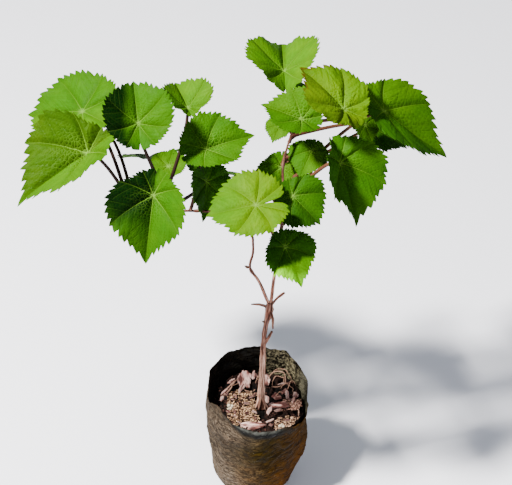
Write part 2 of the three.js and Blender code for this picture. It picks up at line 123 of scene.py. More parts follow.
# Stalks and limbs
PETIOLE_RADIUS = 1.5
APPROACH_BEHIND = 0.16
APPROACH_BELOW = 0.2
STEM_RADII = [1.9, 1.5]
LAST_LEAF = 0.93
LEAF_SPREAD = 0.3
LIMB_LUMP = 0.05
STEEP = 0.9
STEM_STEPS = 100
CURVE_STEPS = 60
LIMB_LINE_STEPS = 200


def eased(part):
    return part * part * (3 - 2 * part)


def smooth(value, low, high):
    return eased(np.clip((value - low) / (high - low), 0, 1))


def lerp(start, end, part):
    return start + (end - start) * part


def blend(first, second, part):
    """Colours between two, by a share at each place."""
    return lerp(np.array(first), np.array(second), np.asarray(part)[..., None])


def scrambled(value):
    """A repeatable number from 0 to 1 that seems unrelated to the value."""
    wave = np.sin(value) * 43758.5453
    return wave - np.floor(wave)


def chance(seed):
    """Repeatable variation between 0 and 1."""
    return scrambled(np.asarray(seed, float) * 127.1 + 311.7)


def noise(*axes):
    """Smooth repeatable noise from -1 to 1 at the given coordinates."""
    spots = np.stack(np.broadcast_arrays(*axes), axis=-1).astype(float)
    base = np.floor(spots)
    ease = eased(spots - base)
    mixer = np.array([127.1, 311.7, 74.7])[:spots.shape[-1]]
    total = np.zeros(spots.shape[:-1])
    for corner in np.ndindex(*([2] * spots.shape[-1])):
        weight = np.where(np.array(corner), ease, 1 - ease).prod(axis=-1)
        total += weight * scrambled((base + corner) @ mixer)
    return total * 2 - 1


def round_angles(count):
    return np.arange(count) / count * 2 * math.pi


def with_alpha(tint, alpha):
    alpha = np.broadcast_to(np.asarray(alpha, float), tint.shape[:-1])
    return np.concatenate([tint, alpha[..., None]], axis=-1)


# Mesh making. A part has points, quads, triangles, tint and maps, and a map places each corner of each face
def beside(values):
    """A grid's values at both sides of each cell, where the last cell ends on the first column."""
    return np.stack([values, np.roll(values, -1, axis=1)], axis=2)


def unrolled(columns):
    """The share of the way round at both sides of each cell, where the last cell ends on 1."""
    return (np.arange(columns)[:, None] + [0, 1]) / columns


def down_rows(values):
    """One value for each row, shaped to go with both sides of each cell."""
    return np.asarray(values)[:, None, None]


def sheet(across, along, hub=None):
    """A map: places before and behind each band of faces, at both sides of its cells, and at the two hubs."""
    sides = np.stack(np.broadcast_arrays(across, along), axis=-1)
    return sides[:-1], sides[1:], hub, hub


def shell(points, tint, maps, first=None, last=None, inward=False):
    """A part of rows x columns points closed round the columns, with a fan to each hub (place and tint)."""
    rows, columns = points.shape[:2]
    index = np.arange(rows * columns).reshape(rows, columns)
    following = np.roll(index, -1, axis=1)
    step = -1 if inward else 1
    quads = np.stack([index[:-1], following[:-1], following[1:], index[1:]], axis=-1).reshape(-1, 4)
    spots, tints, fans = [points.reshape(-1, 3)], [tint.reshape(-1, 4)], []
    for hub, near, far in ((first, following[0], index[0]), (last, index[-1], following[-1])):
        if hub:
            number = np.full(columns, rows * columns + len(fans))
            fans.append(np.stack([number, near, far], axis=-1)[:, ::step])
            spots.append([hub[0]])
            tints.append([hub[1]])
    laid = {}
    for name, (before, behind, *hub_spots) in maps.items():
        on_quads = np.concatenate([before, behind[:, :, ::-1]], axis=2).reshape(-1, 4, 2)
        on_fans = []
        for hub, ring, spot in zip((first, last), (before[0][:, ::-1], behind[-1]), hub_spots):
            if hub:
                middle = ring.mean(axis=1) if spot is None else np.broadcast_to(spot, (columns, 2))
                on_fans.append(np.concatenate([middle[:, None], ring], axis=1)[:, ::step])
        laid[name] = (on_quads[:, ::step], np.concatenate(on_fans))
    return {
        "points": np.concatenate(spots), "quads": quads[:, ::step], "triangles": np.concatenate(fans),
        "tint": np.concatenate(tints), "maps": laid,
    }


def gather(parts):
    """One part from several."""
    starts = np.cumsum([0] + [len(part["points"]) for part in parts])
    whole = {name: np.concatenate([part[name] for part in parts]) for name in ("points", "tint")}
    for name in ("quads", "triangles"):
        whole[name] = np.concatenate([part[name] + start for part, start in zip(parts, starts)])
    whole["maps"] = {}
    for name in parts[0]["maps"]:
        layers = [part["maps"][name] for part in parts]
        whole["maps"][name] = [np.concatenate(sides) for sides in zip(*layers)]
    return whole


def in_cells(parts):
    """The parts, with the map for baking of each one drawn into a cell of its own."""
    cells = math.ceil(math.sqrt(len(parts)))
    for index, part in enumerate(parts):
        if "OFBake" in part["maps"]:
            corner = np.array([index % cells, index // cells])
            sides = part["maps"]["OFBake"]
            part["maps"]["OFBake"] = [(spots * 0.96 + 0.02 + corner) / cells for spots in sides]
    return parts


def piece(name, parts, material, nodes):
    """A smooth mesh made of the parts, riding on the body and standing for the CAD nodes."""
    whole = gather(in_cells(parts))
    mesh = bpy.data.meshes.new(name)
    quads, triangles = whole["quads"], whole["triangles"]
    loops = np.concatenate([quads.ravel(), triangles.ravel()])
    mesh.vertices.add(len(whole["points"]))
    mesh.vertices.foreach_set("co", (whole["points"] * MM).astype(np.float32).ravel())
    mesh.loops.add(len(loops))
    mesh.loops.foreach_set("vertex_index", loops.astype(np.int32))
    mesh.polygons.add(len(quads) + len(triangles))
    starts = np.concatenate([np.arange(len(quads)) * 4, len(quads) * 4 + np.arange(len(triangles)) * 3])
    mesh.polygons.foreach_set("loop_start", starts.astype(np.int32))
    for layer, sides in whole["maps"].items():
        spots = np.concatenate([side.reshape(-1, 2) for side in sides])
        mesh.uv_layers.new(name=layer).data.foreach_set("uv", spots.astype(np.float32).ravel())
    tint = mesh.color_attributes.new(name="tint", type="FLOAT_COLOR", domain="POINT")
    tint.data.foreach_set("color", whole["tint"].astype(np.float32).ravel())
    mesh.update(calc_edges=True)
    mesh.shade_smooth()
    mesh.materials.append(material)
    made = bpy.data.objects.new(name, mesh)
    shown_objects.link(made)
    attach(made, "root")
    if nodes:
        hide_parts(*nodes)


def run_along(line):
    return np.concatenate([[0], np.cumsum(np.linalg.norm(np.diff(line, axis=0), axis=1))])


def at_places(places, stations, line):
    """Points on a line at places that are given on the scale of its stations."""
    return np.stack([np.interp(places, stations, line[:, axis]) for axis in range(3)], axis=-1)


def even(dense, count):
    """Points spaced evenly along a dense line."""
    run = run_along(dense)
    return at_places(np.linspace(0, run[-1], count), run, dense)


def curve_points(line, count):
    """Evenly spaced points on the centripetal smooth line through the given points."""
    line = np.array(line, float)
    ends = np.vstack([2 * line[0] - line[1], line, 2 * line[-1] - line[-2]])
    dense = []
    for k in range(len(line) - 1):
        before, start, end, after = ends[k:k + 4]
        gaps = [np.linalg.norm(b - a) ** 0.5 for a, b in ((before, start), (start, end), (end, after))]
        leave = (start - before) / gaps[0] - (end - before) / (gaps[0] + gaps[1]) + (end - start) / gaps[1]
        arrive = (end - start) / gaps[1] - (after - start) / (gaps[1] + gaps[2]) + (after - end) / gaps[2]
        t = np.linspace(0, 1, CURVE_STEPS, endpoint=k == len(line) - 2)[:, None]
        square, cube = t * t, t * t * t
        dense.append(
            (2 * cube - 3 * square + 1) * start + (cube - 2 * square + t) * leave * gaps[1]
            + (3 * square - 2 * cube) * end + (cube - square) * arrive * gaps[1]
        )
    return even(np.concatenate(dense), count)


def lattice(rows, sides):
    """The share along and the angle round of each point of a tube."""
    return np.meshgrid(np.linspace(0, 1, rows), round_angles(sides), indexing="ij")


def tube(line, across, shade, over=None, normal=None):
    """A closed tube by half its width and half its height, which are the same where one is given."""
    over = across if over is None else over
    rows, sides = shade.shape[:2]
    headings = np.gradient(line, axis=0)
    headings /= np.linalg.norm(headings, axis=1)[:, None]
    if normal is None:
        normal = np.array([1.0, 0, 0]) if abs(headings[0][2]) > STEEP else np.array([0, 0, 1.0])
    normals = []
    for heading in headings:
        normal = normal - heading * (normal @ heading)
        normal = normal / np.linalg.norm(normal)
        normals.append(normal)
    angle = round_angles(sides)
    up = np.array(normals)[:, None] * (over * np.cos(angle))[..., None]
    aside = np.cross(headings, normals)[:, None] * (across * np.sin(angle))[..., None]
    girth = math.pi * (across.mean() + over.mean())
    maps = {
        "grain": sheet(unrolled(sides) * girth / MAP_UNIT, down_rows(run_along(line)) / MAP_UNIT),
        "OFBake": sheet(unrolled(sides), down_rows(np.linspace(0, 1, rows))),
    }
    tint = with_alpha(shade, 1.0)
    hubs = [(line[end], tint[end].mean(axis=0)) for end in (0, -1)]
    return shell(line[:, None] + up + aside, tint, maps, *hubs)


# Materials
class Recipe:
    """Adds nodes to one material and links them."""

    def __init__(self, name):
        self.material = bpy.data.materials.new(name)
        self.material.use_nodes = True
        self.tree = self.material.node_tree
        self.tree.nodes.clear()

    def add(self, kind, inputs, **settings):
        node = self.tree.nodes.new(kind)
        for key, value in settings.items():
            setattr(node, key, value)
        for key, value in inputs.items():
            if isinstance(value, bpy.types.NodeSocket):
                self.tree.links.new(value, node.inputs[key])
            else:
                node.inputs[key].default_value = value
        return node

    def tint(self):
        outputs = self.add("ShaderNodeAttribute", {}, attribute_name="tint").outputs
        return outputs["Color"], outputs["Alpha"]

    def place(self, layer):
        return self.add("ShaderNodeUVMap", {}, uv_map=layer).outputs["UV"]

    def spot(self):
        return self.add("ShaderNodeTexCoord", {}).outputs["Object"]

    def stretch(self, vector, scale):
        return self.add("ShaderNodeMapping", {"Vector": vector, "Scale": scale}).outputs["Vector"]

    def grain(self, vector, scale, detail=4, roughness=0.55):
        inputs = {"Vector": vector, "Scale": scale, "Detail": detail, "Roughness": roughness}
        return self.add("ShaderNodeTexNoise", inputs).outputs["Fac"]

    def spread(self, value, low, high, to_low, to_high):
        inputs = {"Value": value, "From Min": low, "From Max": high, "To Min": to_low, "To Max": to_high}
        return self.add("ShaderNodeMapRange", inputs, interpolation_type="SMOOTHSTEP").outputs["Result"]

    def math(self, operation, first, second=0.0):
        return self.add("ShaderNodeMath", {0: first, 1: second}, operation=operation).outputs["Value"]

    def times(self, first, second):
        return self.math("MULTIPLY", first, second)

    def from_half(self, value):
        return self.math("ABSOLUTE", self.math("SUBTRACT", value, 0.5))

    def mix(self, part, first, second, kind="MIX"):
        inputs = {0: part, 6: first, 7: second}
        for key in (6, 7):
            if not isinstance(inputs[key], bpy.types.NodeSocket):
                inputs[key] = (*inputs[key], 1.0)
        return self.add("ShaderNodeMix", inputs, data_type="RGBA", blend_type=kind).outputs[2]

    def bump(self, height, strength, distance):
        inputs = {"Height": height, "Strength": strength, "Distance": distance}
        return self.add("ShaderNodeBump", inputs).outputs["Normal"]

    def principled(self, colour, normal, roughness, specular):
        inputs = {
            "Base Color": colour, "Normal": normal, "Roughness": roughness, "Specular IOR Level": specular,
        }
        return self.add("ShaderNodeBsdfPrincipled", inputs).outputs["BSDF"]

    def finish(self, surface):
        self.add("ShaderNodeOutputMaterial", {"Surface": surface})
        return self.material


LEAF_GLOW = 0.25
GLOW_GREEN = (0.11, 0.28, 0.0005)
WORN_GREEN = (0.7, 0.86, 0.6)
VEIN_COLOUR = (0.13, 0.27, 0.022)
NET_SCALE = 3.1
SIDE_VEIN_LIGHT = (0.03, 0.07, 0.004)
SIDE_VEIN_SHARE = 0.45


def leaf_material():
    """Green blade with pale palmate and side veins, a fine net between them and a quilted surface."""
    recipe = Recipe("vine_leaf")
    tint, strength = recipe.tint()
    blade = recipe.place("blade")
    vein = recipe.add("ShaderNodeSeparateXYZ", {"Vector": recipe.place("vein")})
    main = recipe.spread(vein.outputs["X"], 0.6, 1.5, 1.0, 0.0)
    lateral = recipe.spread(recipe.from_half(recipe.math("FRACT", vein.outputs["Y"])), 0.455, 0.49, 0.0, 1.0)
    veins = recipe.math("MAXIMUM", main, recipe.times(lateral, 0.6))
    cells = {"Vector": blade, "Scale": NET_SCALE, "Randomness": 0.9}
    quilt = recipe.add("ShaderNodeTexVoronoi", cells, voronoi_dimensions="2D", feature="DISTANCE_TO_EDGE")
    net = recipe.spread(quilt.outputs["Distance"], 0.02, 0.12, 1.0, 0.0)
    patch = recipe.grain(blade, 1.1, 5)
    varied = recipe.mix(recipe.spread(patch, 0.35, 0.65, 0.0, 0.5), tint, WORN_GREEN, "MULTIPLY")
    meshes = recipe.times(net, recipe.spread(strength, 0.2, 0.8, 0.02, 0.4))
    netted = recipe.mix(meshes, varied, VEIN_COLOUR)
    laced = recipe.mix(recipe.times(lateral, SIDE_VEIN_SHARE), netted, SIDE_VEIN_LIGHT, "ADD")
    green = recipe.mix(recipe.times(main, strength), laced, VEIN_COLOUR)
    pillow = recipe.spread(quilt.outputs["Distance"], 0.0, 0.4, 0.0, 1.0)
    quilted = recipe.times(pillow, recipe.spread(strength, 0.1, 0.9, 0.5, 2.6))
    normal = recipe.bump(recipe.math("SUBTRACT", quilted, recipe.times(veins, 0.9)), 0.5, 0.0005)
    skin = recipe.principled(green, normal, recipe.spread(patch, 0.3, 0.7, 0.5, 0.66), 0.03)
    glow = {"Color": recipe.mix(0.4, green, GLOW_GREEN), "Normal": normal}
    through = recipe.add("ShaderNodeBsdfTranslucent", glow).outputs["BSDF"]
    surface = recipe.add("ShaderNodeMixShader", {0: LEAF_GLOW, 1: skin, 2: through})
    return recipe.finish(surface.outputs["Shader"])


BARK_LINES = (0.1, 0.035, 0.025)
BARK_FLECKS = (0.5, 0.33, 0.27)


def bark_material(name, roughness, stretch, depth, flecked, lined):
    """Tinted bark with grain drawn out along the limb, and dark lines and pale flecks as strong as asked."""
    recipe = Recipe(name)
    grain = recipe.stretch(recipe.place("grain"), stretch)
    fibres = recipe.grain(grain, 9.0, 6, 0.65)
    flecks = recipe.grain(grain, 3.2, 3)
    dark = recipe.mix(recipe.spread(fibres, 0.36, 0.58, lined, 0.0), recipe.tint()[0], BARK_LINES, "MULTIPLY")
    shade = recipe.mix(recipe.spread(flecks, 0.55, 0.75, 0.0, flecked), dark, BARK_FLECKS)
    dull = recipe.spread(flecks, 0.3, 0.7, roughness, roughness + 0.15)
    return recipe.finish(recipe.principled(shade, recipe.bump(fibres, 0.8, depth), dull, 0.1))


CLEAN_FILM = (0.003, 0.0025, 0.002)
FILM_GRIT = (0.2, 0.17, 0.15)
FILM_SPECKS = (0.22, 0.19, 0.13)


def film_material():
    """Black film, glossy where clean and dull where the tint's alpha says that dust lies."""
    recipe = Recipe("bag_film")
    tint, thick = recipe.tint()
    grain = recipe.place("grain")
    lines = recipe.grain(recipe.stretch(grain, (0.22, 1.0, 1.0)), 6.5, 6, 0.72)
    specks = recipe.grain(recipe.spot(), 380.0, 3, 0.6)
    grit = recipe.grain(recipe.stretch(grain, (0.4, 1.0, 1.0)), 8.0, 3, 0.65)
    crumple = recipe.grain(recipe.stretch(grain, (0.45, 1.0, 1.0)), 1.5, 3, 0.5)
    valleys = recipe.spread(recipe.from_half(crumple), 0.0, 0.06, 0.0, 1.0)
    dusty = recipe.times(thick, recipe.spread(lines, 0.34, 0.56, 0.5, 1.0))
    shade = recipe.mix(dusty, CLEAN_FILM, tint)
    gritty_dust = recipe.spread(thick, 0.7, 1.0, 0.1, 0.8)
    grit_share = recipe.times(recipe.spread(grit, 0.4, 0.58, 1.0, 0.0), gritty_dust)
    gritty = recipe.mix(grit_share, shade, FILM_GRIT, "MULTIPLY")
    creased = recipe.mix(recipe.spread(valleys, 0.0, 1.0, 0.6, 0.0), gritty, FILM_GRIT, "MULTIPLY")
    fleck = recipe.times(thick, recipe.spread(specks, 0.66, 0.74, 0.0, 0.4))
    speckled = recipe.mix(fleck, creased, FILM_SPECKS)
    normal = recipe.bump(recipe.math("ADD", recipe.times(lines, 0.5), valleys), 0.6, 0.0006)
    dull = recipe.spread(dusty, 0.0, 0.8, 0.25, 0.75)
    shine = recipe.spread(dusty, 0.2, 0.8, 0.07, 0.025)
    return recipe.finish(recipe.principled(speckled, normal, dull, shine))


CRUMB_PITS = (0.12, 0.07, 0.05)


def crumb_material(name, scale, depth):
    """Tinted grains with a rough broken surface."""
    recipe = Recipe(name)
    rough = recipe.grain(recipe.spot(), scale, 5, 0.7)
    shade = recipe.mix(recipe.spread(rough, 0.35, 0.65, 0.65, 0.0), recipe.tint()[0], CRUMB_PITS, "MULTIPLY")
    dull = recipe.spread(rough, 0.3, 0.7, 0.75, 0.95)
    return recipe.finish(recipe.principled(shade, recipe.bump(rough, 0.9, depth), dull, 0.06))


# Leaves
# Greens of the leaves. A leaf's two half tones and its end tone are partly its own green and partly painted
# light and shade: dark and shade stand for shade on a blade, sunlit for sunlight on it.
GREENS = {
    "dark": (0.001, 0.011, 0.0008),
    "shade": (0.011, 0.052, 0.0008),
    "mid": (0.019, 0.08, 0.0006),
    "fresh": (0.027, 0.1, 0.0006),
    "bright": (0.041, 0.122, 0.0004),
    "yellow": (0.072, 0.158, 0.0001),
    "lime": (0.054, 0.15, 0.0002),
    "sunlit": (0.21, 0.62, 0.0006),
    "gold": (0.053, 0.11, 0.0003),
    "olive": (0.03, 0.075, 0.0006),
}
UNDERSIDE = (0.07, 0.13, 0.03)
SCORCH = (0.055, 0.02, 0.003)
HUB_COLOUR = (0.15, 0.25, 0.05)
HUB_SPOT = 4.0


def leaf_of(hub, width, heading, pitch, tones, **shape):
    """A leaf by its hub, width, heading and rise of its tip, and the colours of its left and right half,
    which are partly its own green and partly painted light and shade.
    """
    place = {"hub": np.array(hub, float), "width": width, "heading": heading, "pitch": pitch}
    common = {"roll": 0, "fold": 8, "stretch": 1, "tip": 1, "lobes": (1, 1), "open": False}
    looks = {"droop": DROOP, "crinkle": 1, "scorch": 0, "veins": 0.5, "end": None, "split": 0}
    return {**place, **common, **looks, "tones": tones.split(), **shape}


MASSES = {
    "leaves_left_tip": ("left", [(-107, 14, 322), (-118, 18, 328), (-128, 24, 333)], [
        leaf_of((-172, 94, 388), 88, 156, -16, "bright fresh", roll=30, fold=6, stretch=1.22, tip=0.92,
                veins=0.35),
        leaf_of((-163, 20, 389), 112, 204, -27, "bright olive", roll=10, fold=34, stretch=1.11,
                lobes=(0.9, 0.56), crinkle=1.9, veins=0.75),
        leaf_of((-146, 112, 347), 74, 125, -28, "mid mid"),
    ]),
    "leaves_left_upright": ("left", [(-89, 14, 323), (-90, 20, 331), (-90, 26, 341)], [
        # The dark half of this blade is painted shade.
        leaf_of((-113, 16, 425), 79, 99, 44, "dark fresh", fold=26, stretch=0.92, tip=0.84, lobes=(0.9, 0.9),
                split=9),
        leaf_of((-68, 92, 393), 66, 112, 22, "bright lime", roll=-5, fold=32, stretch=0.88, tip=0.9,
                lobes=(0.5, 0.5)),
    ]),
    "leaves_left_rear": ("left", [(-76, 13, 325), (-76, 24, 325), (-78, 36, 326)], [
        leaf_of((-88, 80, 332), 38, 78, 15, "bright bright", fold=10),
        leaf_of((-105, 112, 321), 72, 100, -30, "mid mid"),
        leaf_of((-45, 95, 314), 66, 70, -30, "fresh fresh"),
    ]),
    "leaves_left_front": ("left", [(-96, 14, 322.5), (-97, 4, 326), (-97, -6, 333)], [
        # The dark half of this blade is painted shade, giving way to its own green towards the tip.
        leaf_of((-98, -35, 377), 101, 257, -55, "fresh dark", end=("fresh", 0.1, 0.55), fold=34, stretch=0.95,
                lobes=(0.66, 0.64), veins=0.6),
    ]),
    "leaves_left_inner": ("left", [(-65, 12, 326), (-62, 15, 335), (-60, 17, 343)], [
        leaf_of((-49, 26, 389), 75, 14, 12, "fresh fresh", roll=-22, fold=24, stretch=0.96,
                lobes=(0.86, 0.86), crinkle=1.3, veins=0.9),
        leaf_of((-49, 28, 349), 58, 268, -58, "mid shade", roll=50, fold=10),
    ]),
    "leaves_centre_front": ("right", [(20.5, -0.5, 289), (20, -9, 295), (18, -16, 303)], [
        leaf_of((-1, -40, 370), 78, 190, -5, "yellow yellow", roll=18, fold=4, tip=0.92, open=True,
                veins=0.45, end=("lime", 0.05, 0.4)),
        # The darker half of this blade is painted shade and its bright tip painted sunlight.
        leaf_of((27, -45, 324), 61, 307, -47, "mid shade", lobes=(0.72, 0.72), end=("sunlit", 0.26, 0.32)),
    ]),
    "leaves_centre": ("right", [(24.5, 5, 324), (30, -1, 329), (35, -6, 335)], [
        leaf_of((34, -19, 365), 62, 330, -35, "mid shade", roll=-25, tip=0.9, lobes=(0.66, 0.66)),
    ]),
    "leaves_centre_rear": ("right", [(22.5, 2, 305), (24, 12, 307), (26, 22, 311)], [
        leaf_of((10, 90, 309), 68, 100, -30, "mid mid"),
        leaf_of((60, 90, 335), 66, 70, -30, "olive olive"),
    ]),
    "leaves_right_front": ("right", [(27, 9, 345), (34, 9, 351), (42, 8, 357)], [
        leaf_of((79, -4, 393), 95, 297, -51, "fresh mid", roll=18, fold=30, stretch=0.97, lobes=(0.7, 0.7),
                veins=0.6),
    ]),
    "leaves_right_tip": ("right", [(26, 14, 354), (34, 19, 358), (42, 24, 363)], [
        leaf_of((122, 46, 419), 84, 0, -39, "bright mid", roll=-18, fold=16, stretch=1.45,
                lobes=(0.68, 0.68)),
        leaf_of((114, 90, 371), 60, -10, -25, "shade shade", roll=-10),
    ]),
    "leaves_crown_middle": ("right", [(25, 24, 371), (26, 34, 371), (28, 44, 370)], [
        leaf_of((24, 42, 357), 54, 270, -50, "bright fresh", lobes=(0.7, 0.7)),
        leaf_of((53, 34, 382), 46, 240, -35, "bright fresh", lobes=(0.62, 0.62)),
    ]),
    "leaves_crown_top": ("right", [(34, 40, 401), (37, 43, 405), (40, 46, 409)], [
        leaf_of((82, 15.5, 441.4), 80, 146, 33, "gold yellow", fold=14, stretch=1.13, tip=0.94,
                lobes=(0.62, 0.62), crinkle=1.7, scorch=1, veins=0.6),
        leaf_of((42, 20, 427), 62, 160, 12, "fresh bright", roll=25, fold=30, lobes=(0.8, 0.8), veins=0.8),
        leaf_of((26, 86, 440), 92, 92, 4, "bright lime", roll=4, fold=36, stretch=0.94, droop=0.27),
    ]),
    "leaves_crown_rear": ("right", [(31, 35, 391), (33, 45, 389), (36, 54, 387)], [
        leaf_of((23, 60, 394), 30, 240, -30, "bright bright"),
        leaf_of((105, 66, 390), 28, 300, -40, "bright bright"),
        leaf_of((68, 118, 392), 74, 75, -28, "mid mid"),
        leaf_of((49, 116, 382), 62, 105, -32, "fresh fresh"),
    ]),
}
MASS_SEED_STEP = 10


def leaf_axes(leaf):
    heading, pitch, roll = (math.radians(leaf[name]) for name in ("heading", "pitch", "roll"))
    ahead = np.array([math.cos(heading), math.sin(heading), 0.0])
    tip = ahead * math.cos(pitch) + np.array([0, 0, math.sin(pitch)])
    level = np.array([-ahead[1], ahead[0], 0.0])
    face = np.cross(tip, level) * math.cos(roll) + level * math.sin(roll)
    return tip, np.cross(face, tip), face


def outline_reach(degrees, leaf):
    """Reach of the untoothed outline, rounded between its stations except at the tip."""
    away = np.abs((degrees + 180) % 360 - 180)
    angles = OUTLINE_ANGLES if leaf["open"] else [*OUTLINE_ANGLES[:-2], 177, 180]
    values = OUTLINE_REACH + (OPEN_NOTCH if leaf["open"] else CLOSED_NOTCH)
    sharp = np.interp(away, angles, values)
    nearby = [np.interp(np.abs(away + turn), angles, values) for turn in (-6, -3, 0, 3, 6)]
    reach = lerp(sharp, np.mean(nearby, axis=0), smooth(away, 3, 16) * smooth(170 - away, 0, 8))
    lobe = np.where(degrees > 0, *leaf["lobes"])
    return reach * lerp(1, lobe, smooth(away, 70, 130)) * lerp(leaf["tip"], 1, smooth(away, 0, 18))


def margin(seed):
    """A leaf's columns round the hub, in degrees from the tip, and how far each is cut in between teeth."""
    sides = []
    for flank, side_seed in ((-1, seed + 0.3), (1, seed + 0.7)):
        tips = [0.0]
        for low, high, count in zip(VEIN_ANGLES, VEIN_ANGLES[1:], TEETH):
            for k in range(1, count + 1):
                jitter = 0 if k == count else TOOTH_JITTER * (chance(side_seed + high + k) - 0.5)
                tips.append(low + (high - low) * (k + jitter) / count)
        tips.append(LAST_TOOTH)
        drops = [0 if tip in VEIN_ANGLES else 0.012 + 0.02 * chance(side_seed * 3 + tip) for tip in tips]
        angles, cuts = [], []
        for k in range(len(tips) - 1):
            depth = TOOTH_DEPTH * (0.7 + 0.6 * chance(side_seed * 7 + k))
            for step in TOOTH_STEPS:
                back = (step / TOOTH_NOTCH) ** 1.3 if step <= TOOTH_NOTCH else (1 - step) / (1 - TOOTH_NOTCH)
                angles.append(lerp(tips[k], tips[k + 1], step))
                cuts.append(lerp(drops[k], drops[k + 1], step) + depth * back)
        angles += [LAST_TOOTH, *SINUS_ANGLES]
        cuts += [drops[-1]] + [0] * len(SINUS_ANGLES)
        sides.append((np.array(angles) * flank, np.array(cuts)))
    left, right = sides
    degrees = np.concatenate([left[0][:0:-1], right[0], [180]])
    return degrees, np.concatenate([left[1][:0:-1], right[1], [0]])


def veins_at(spot, middle, reach, width):
    """Distance from the main vein next to the middle angle, and a count that is whole on each side vein."""
    veins = np.array(VEIN_ANGLES, float)
    nearest = veins[np.abs(middle[..., None] - veins).argmin(axis=-1)]
    turn = np.radians(spot - nearest)
    along, across = reach * np.cos(turn), np.abs(reach * np.sin(turn))
    ahead = along - across * SIDE_VEIN_SLANT + 0.35 * across ** 2 / width
    return across, ahead / (SIDE_VEIN_SPACING * width) + 0.5 * (middle > nearest) + 0.23 * nearest


def blade_relief(leaf, seed, x, y, degrees, shares, groove, pillow):
    """How far the blade stands up between its veins, with pleats from vein to vein, crinkles and swells."""
    away = np.abs(degrees)
    size = leaf["width"] / VEINED_WIDTH
    sector = np.searchsorted(VEIN_ANGLES, away, side="right") - 1
    starts = np.array([*VEIN_ANGLES, 180], float)
    between = (away - starts[sector]) / (starts[np.minimum(sector + 1, 4)] - starts[sector] + 1e-6)
    arch = np.sin(math.pi * np.clip(between, 0, 1)) * (0.6 + 0.8 * chance(seed + sector + 20 * (degrees > 0)))
    relief = leaf["crinkle"] * size * (0.9 * pillow - 0.7 * groove)
    relief += PLEAT * size * arch * (sector < 3) * smooth(shares, 0.02, 0.5)
    relief += leaf["crinkle"] * 0.4 * noise(x / 4.5, y / 4.5, seed * 1.0) * (1 - 0.5 * shares)
    return relief + 2.4 * size * noise(x / 26, y / 26, seed + 5.0) * shares


def blade_part(leaf, seed):
    """One closed leaf blade: upper face, rim and underside in one run of rows from hub to hub."""
    width = leaf["width"]
    size = width / VEINED_WIDTH
    tip, side, face = leaf_axes(leaf)
    degrees, cuts = margin(seed)
    away = np.abs(degrees)
    shares = np.array(SHARES)[:, None]
    bend = np.sign(degrees) * VEIN_BEND * np.sin(np.radians(away))
    bearing = np.radians(degrees - bend * shares ** 1.5)
    reach = outline_reach(degrees - bend, leaf) * shares * (1 - cuts * shares ** 5) * width
    x, y = reach * np.cos(bearing), reach * np.sin(bearing)
    across, phase = veins_at(away, away, reach, width)
    groove = np.exp(-(across / (1.7 * size)) ** 2) * (1 - 0.6 * shares)
    pillow = np.abs(np.sin(math.pi * phase)) * smooth(across, 0.5, 6) * (1 - shares ** 4)
    relief = blade_relief(leaf, seed, x, y, degrees, shares, groove, pillow)
    relief += 1.1 * size * np.sin(bearing * 13 + 9 * chance(seed)) * shares ** 5 * (away < 160)
    angle = np.arctan2(y, x)
    wave = WAVE * width * (np.hypot(x, y) / width) ** 2 * np.sin(3 * angle + 6 * chance(seed))
    fold = math.radians(leaf["fold"])
    rise = np.abs(y) * math.sin(fold) - leaf["droop"] * np.maximum(x, 0) ** 2 / width
    rise = rise + wave * np.minimum(1, np.abs(angle)) + relief
    middle = leaf["hub"] + tip * (x * leaf["stretch"])[..., None] + side * (y * math.cos(fold))[..., None]
    upper = middle + face * (rise + BLADE / 2)[..., None]
    strength = leaf["veins"] * lerp(1, 0.3, smooth(shares, 0, 0.7)) + 0 * x
    tint = with_alpha(blade_tint(leaf, x, y, shares, groove, pillow, seed), strength)
    hub_tint = np.append(tint[0, :, :3].mean(axis=0), leaf["veins"])
    hubs = [(leaf["hub"] + face * BLADE / 2, hub_tint), (leaf["hub"] - face * BLADE / 2, underside(hub_tint))]

    def both(values):
        return np.concatenate([values, values[::-1]])

    def baked(x, y, under):
        return np.stack([((x / width + 0.5) / 1.22 + under) / 2, (y / width + 0.58) / 1.16], axis=-1)

    spot = np.stack([away, np.roll(away, -1)], axis=-1)

    def veined(reach):
        off, phase = veins_at(spot, spot.mean(axis=-1, keepdims=True), reach, width)
        thin = lerp(0.44, 0.17, reach / (0.6 * width)) * max(size, 0.7)
        return np.stack([off / thin, phase], axis=-1)

    flat_x, flat_y, veins = beside(both(x)), beside(both(y)), veined(beside(both(reach)))
    under = down_rows(np.arange(2 * len(shares) - 1) >= len(shares))
    shift = np.array([3.7, 5.3]) * seed
    hub_veins = veined(np.zeros(2))[:, 0]
    maps = {
        "blade": sheet(flat_x / MAP_UNIT + shift[0], flat_y / MAP_UNIT + shift[1], shift),
        "vein": (veins[:-1], veins[1:], hub_veins, hub_veins),
        "OFBake": (
            baked(flat_x[:-1], flat_y[:-1], under), baked(flat_x[1:], flat_y[1:], under),
            baked(0, 0, 0), baked(0, 0, 1),
        ),
    }
    points = np.concatenate([upper, (upper - face * BLADE)[::-1]])
    tints = np.concatenate([tint, underside(tint)[::-1]])
    return shell(points, tints, maps, *hubs, inward=True)


def underside(tint):
    """The paler colour below a place on the upper face, with the same strength of its veins."""
    return tint * (0.5, 0.5, 0.5, 1) + np.append(np.array(UNDERSIDE) / 2, 0)


